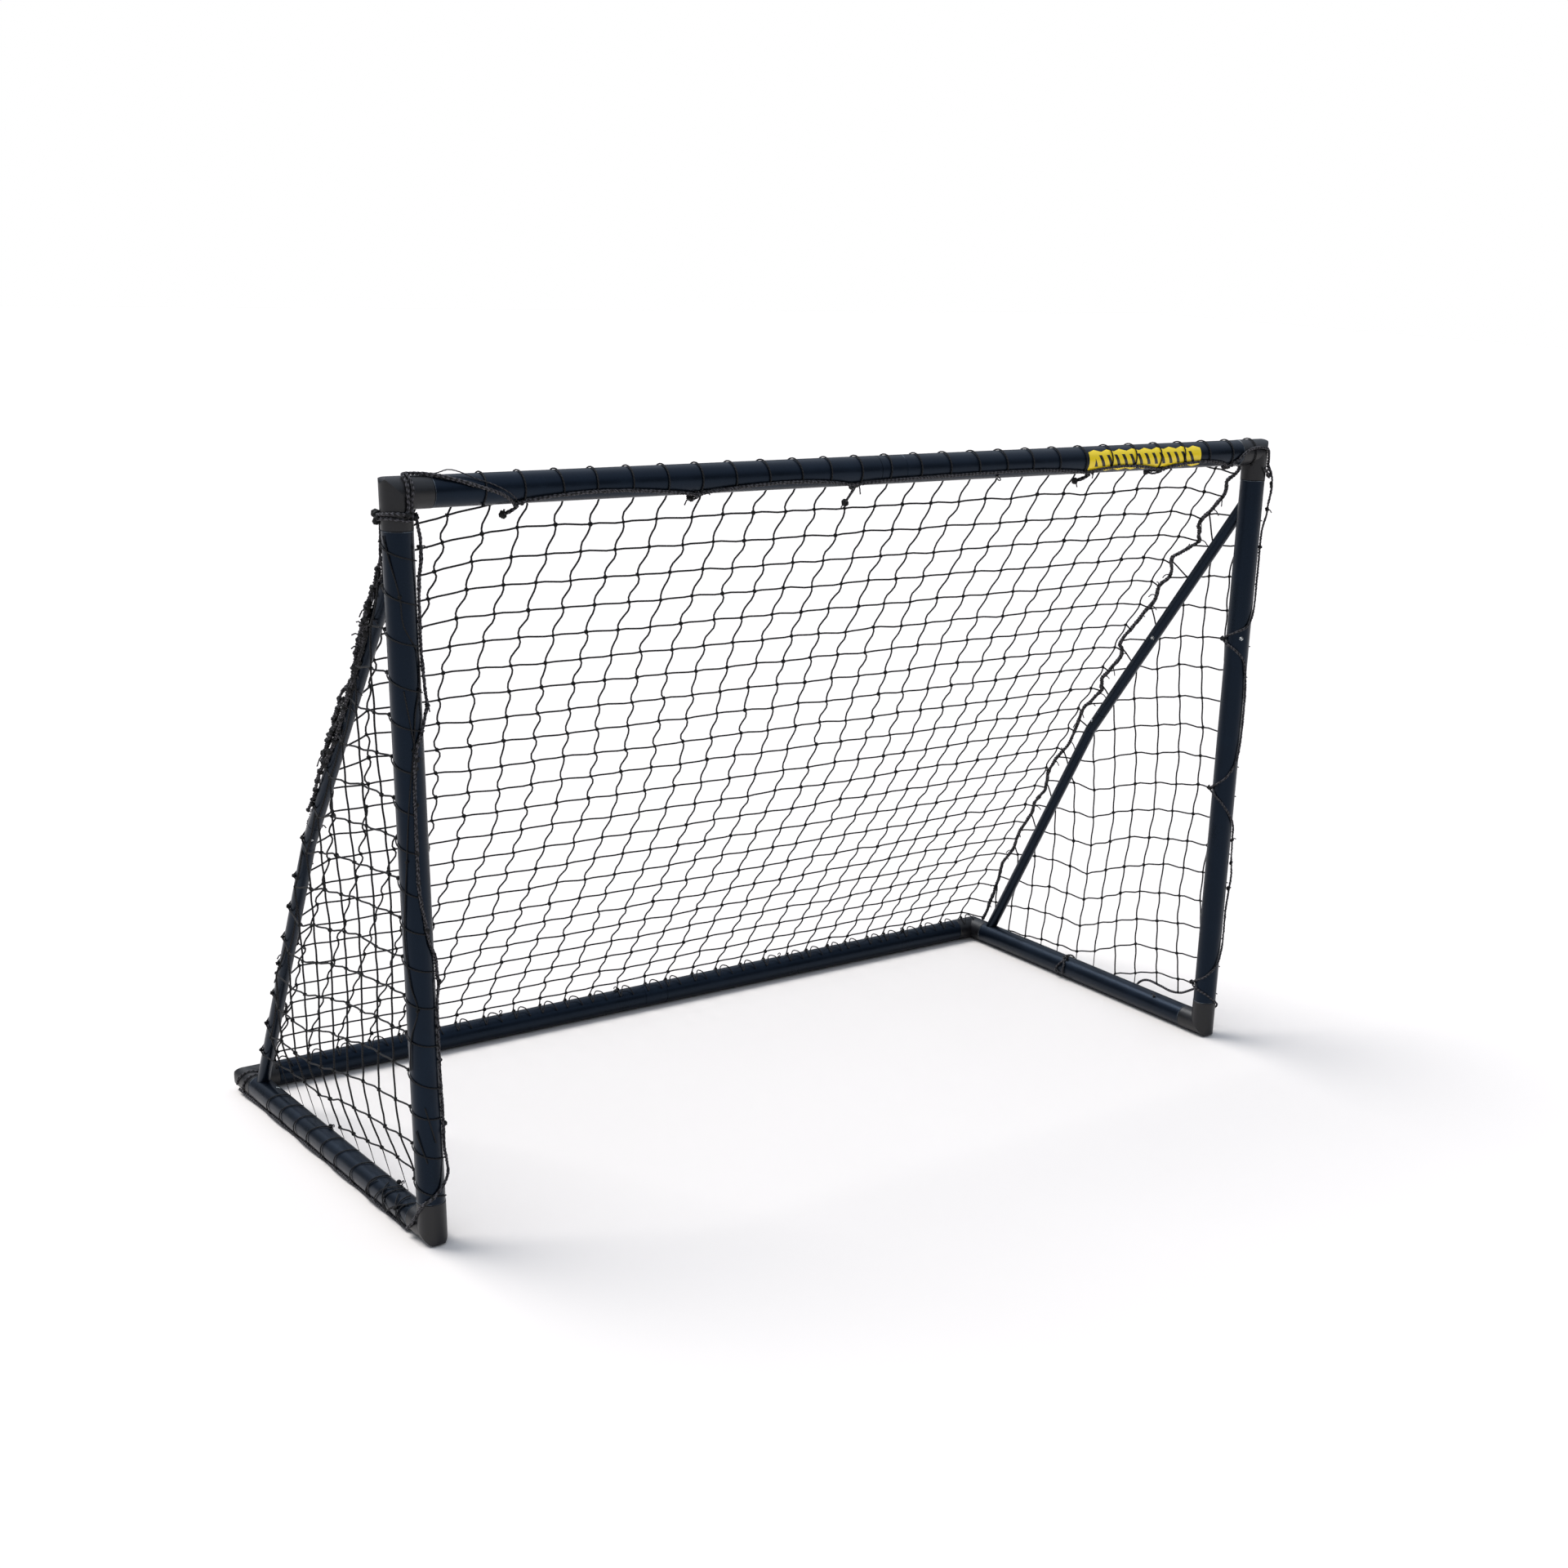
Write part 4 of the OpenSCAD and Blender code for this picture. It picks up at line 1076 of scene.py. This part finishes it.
def addBunch(drawn, chance):  # spare net gathered along the outside of the left strut's upper half
    for strand in range(4):
        points = []
        z = 1.595 - 0.015 * strand
        while z > 0.93 + 0.07 * strand:
            turn = 4 + 36 * math.sin(z * (9 + 3 * strand) + strand * 1.7)
            lift = ropeLift + 0.0035 * (1 + math.sin(z * (37 + 5 * strand) + strand * 4))
            points.append(onStrut(-1, z + chance.uniform(-0.006, 0.006), turn, lift))
            z -= 0.02
        line = bent(points, 0.004)
        drawn.add(line, lumpy(line, chance, 0.45))
        for i in range(9, len(line), 10):
            drawn.knot(line[i], chance.uniform(0.8, 1.4))
            if i % 20 < 10:
                fray(drawn, line[i], chance, chance.uniform(0.016, 0.03))
    top = [onPost(-1, 1.69, -50, 0.004), onPost(-1, 1.65, -44, 0.004), onPost(-1, 1.61, -36, 0.005),
           onStrut(-1, 1.575, -10, 0.006), onStrut(-1, 1.54, 10, 0.006)]
    drawn.add(bent(top, 0.004), 0.6)
    down = [onStrut(-1, z, turn, ropeLift) for z, turn in
            ((0.99, 20), (0.965, 60), (0.94, 100), (0.925, 140))]
    drawn.add(bent(down + [seamPoint(-1, 0.99)], 0.004), 0.9)


def addSlackLoops(drawn, chance):  # loops of spare rope that hang off the seam behind the strut
    for run, reach in ((0.99, 0.03), (1.13, 0.024), (1.42, 0.026), (1.70, 0.034)):
        start = seamPoint(-1, run)
        inward = Vector((reach, 0, 0))
        loop = [start, start + inward * 0.8 + downSlope * 0.012, start + inward + downSlope * 0.05,
                start + inward * 0.5 + downSlope * 0.09, seamPoint(-1, run + 0.1)]
        line = bent(loop, 0.004)
        drawn.add(line, lumpy(line, chance, 0.3))
        drawn.knot(line[len(line) // 2], 1.0)
        fray(drawn, line[len(line) // 2], chance, 0.022)


def buildHookTies():
    # At a crossbar hook two short ends run to a knot that holds one mesh of the net
    chance = random.Random(29)
    drawn = Lines()
    ends = ((0, -0.016, 0.022), (1, 0.002, 0.008), (2, 0.004, 0.040), (4, -0.018, 0.018),
            (5, -0.022, 0.004))  # which hook, how far along the bar, how far below it
    for hook, along, below in ends:
        x = crossbarHooks[hook]
        tip = onCrossbar(x + 0.008, 60, 0.009)
        end = onCrossbar(x + along, 92, below) + Vector((0, 0.004, 0))
        for shift in (-0.003, 0.004):
            between = (tip + end) / 2 + Vector((shift, 0, shift - 0.002))
            drawn.add(bent([tip, between, end], 0.003), 0.66)
        drawn.knot(end, 1.35)
        drawn.knot(end + Vector((0.003, 0.001, -0.003)), 1.1)
        fray(drawn, end, chance, 0.018)
    finishRope("hook_ties", drawn)


def buildJointRings():
    # A thin pale ring painted as the highlight on each pipe's chamfered end, where it meets a corner or
    # the next length
    drawn = Lines()
    around = range(0, 361, 12)
    for side in (-1, 1):
        drawn.add([onPost(side, topZ - legEnd - 0.0015, turn, 0.0) for turn in around])
        drawn.add([onPost(side, groundZ + legEnd + 0.0015, turn, 0.0) for turn in around])
        drawn.add([onCrossbar(side * (postX - legEnd - 0.0015), turn, 0.0) for turn in around])
        drawn.add([onSideBar(side, legEnd + 0.0015, turn, 0.0) for turn in around])
        drawn.add([onSideBar(side, goalDepth - legEnd - 0.0015, turn, 0.0) for turn in around])
    piece = grow("joint_edges", drawn, twine, {"Twine diameter": 0.0014, "Sides": 5,
                                               "Knot size": 0.001, "Finish": edgeHighlightFinish})


buildCrossbarRope()
buildPostRopes()
buildGroundRopes()
buildSeamRopes()
buildHookTies()
buildJointRings()
print("ropes laid")


studio = {"floor reach": 40, "floor": [(0.3, "#d6d0cb"), (0.7, "#d8d2cd")],
          "lamp azimuth": 210, "lamp height": 62, "lamp strength": 3.3, "lamp spread": 30,
          "sky": [(0.0, "#6c7075"), (0.3, "#7d848c"), (0.62, "#e4efff")], "backdrop": "#ffffff"}


def addFloor():
    reach = studio["floor reach"]
    mesh = bpy.data.meshes.new("floor")
    mesh.from_pydata([(-reach, -reach, 0), (reach, -reach, 0), (reach, reach, 0),
                      (-reach, reach, 0)], [], [(0, 1, 2, 3)])
    floor = bpy.data.objects.new("floor", mesh)
    bpy.context.collection.objects.link(floor)
    # Matt painted studio floor, pale enough to fade into the backdrop
    material, tree, surface = newMaterial("matt studio paint", Roughness=0.9)
    clouds = addNode(tree, "ShaderNodeTexNoise", {"Vector": objectPattern(tree), "Scale": 0.7})
    addNode(tree, "ShaderNodeValToRGB", {"Fac": clouds.outputs[0]}, studio["floor"],
            surface.inputs["Base Color"])
    mesh.materials.append(material)


def addLamp():  # one wide far lamp, even over the floor
    data = bpy.data.lights.new("overhead softbox", "SUN")
    data.energy = studio["lamp strength"]
    data.angle = math.radians(studio["lamp spread"])
    lamp = bpy.data.objects.new("overhead softbox", data)
    lamp.rotation_euler = (math.radians(90 - studio["lamp height"]), 0,
                           math.radians(studio["lamp azimuth"]))
    bpy.context.collection.objects.link(lamp)


def addSky():  # a soft sky, darker near the horizon, with plain white behind the goal
    world = bpy.data.worlds.new("studio")
    world.use_nodes = True
    tree = world.node_tree
    background = tree.nodes["Background"]
    upwards = addNode(tree, "ShaderNodeSeparateXYZ",
                      {"Vector": addNode(tree, "ShaderNodeTexCoord").outputs["Generated"]})
    sky = addNode(tree, "ShaderNodeValToRGB", {"Fac": upwards.outputs["Z"]}, studio["sky"])
    seen = addNode(tree, "ShaderNodeLightPath").outputs["Is Camera Ray"]
    backdrop = addNode(tree, "ShaderNodeMix",
                       {"Factor": seen, 6: sky.outputs[0], 7: colour(studio["backdrop"])},
                       data_type="RGBA")
    tree.links.new(backdrop.outputs[2], background.inputs["Color"])
    background.inputs["Strength"].default_value = 1.0
    bpy.context.scene.world = world


addFloor()
addLamp()
addSky()
bpy.context.scene.view_settings.view_transform = "Standard"
print("stage lit")
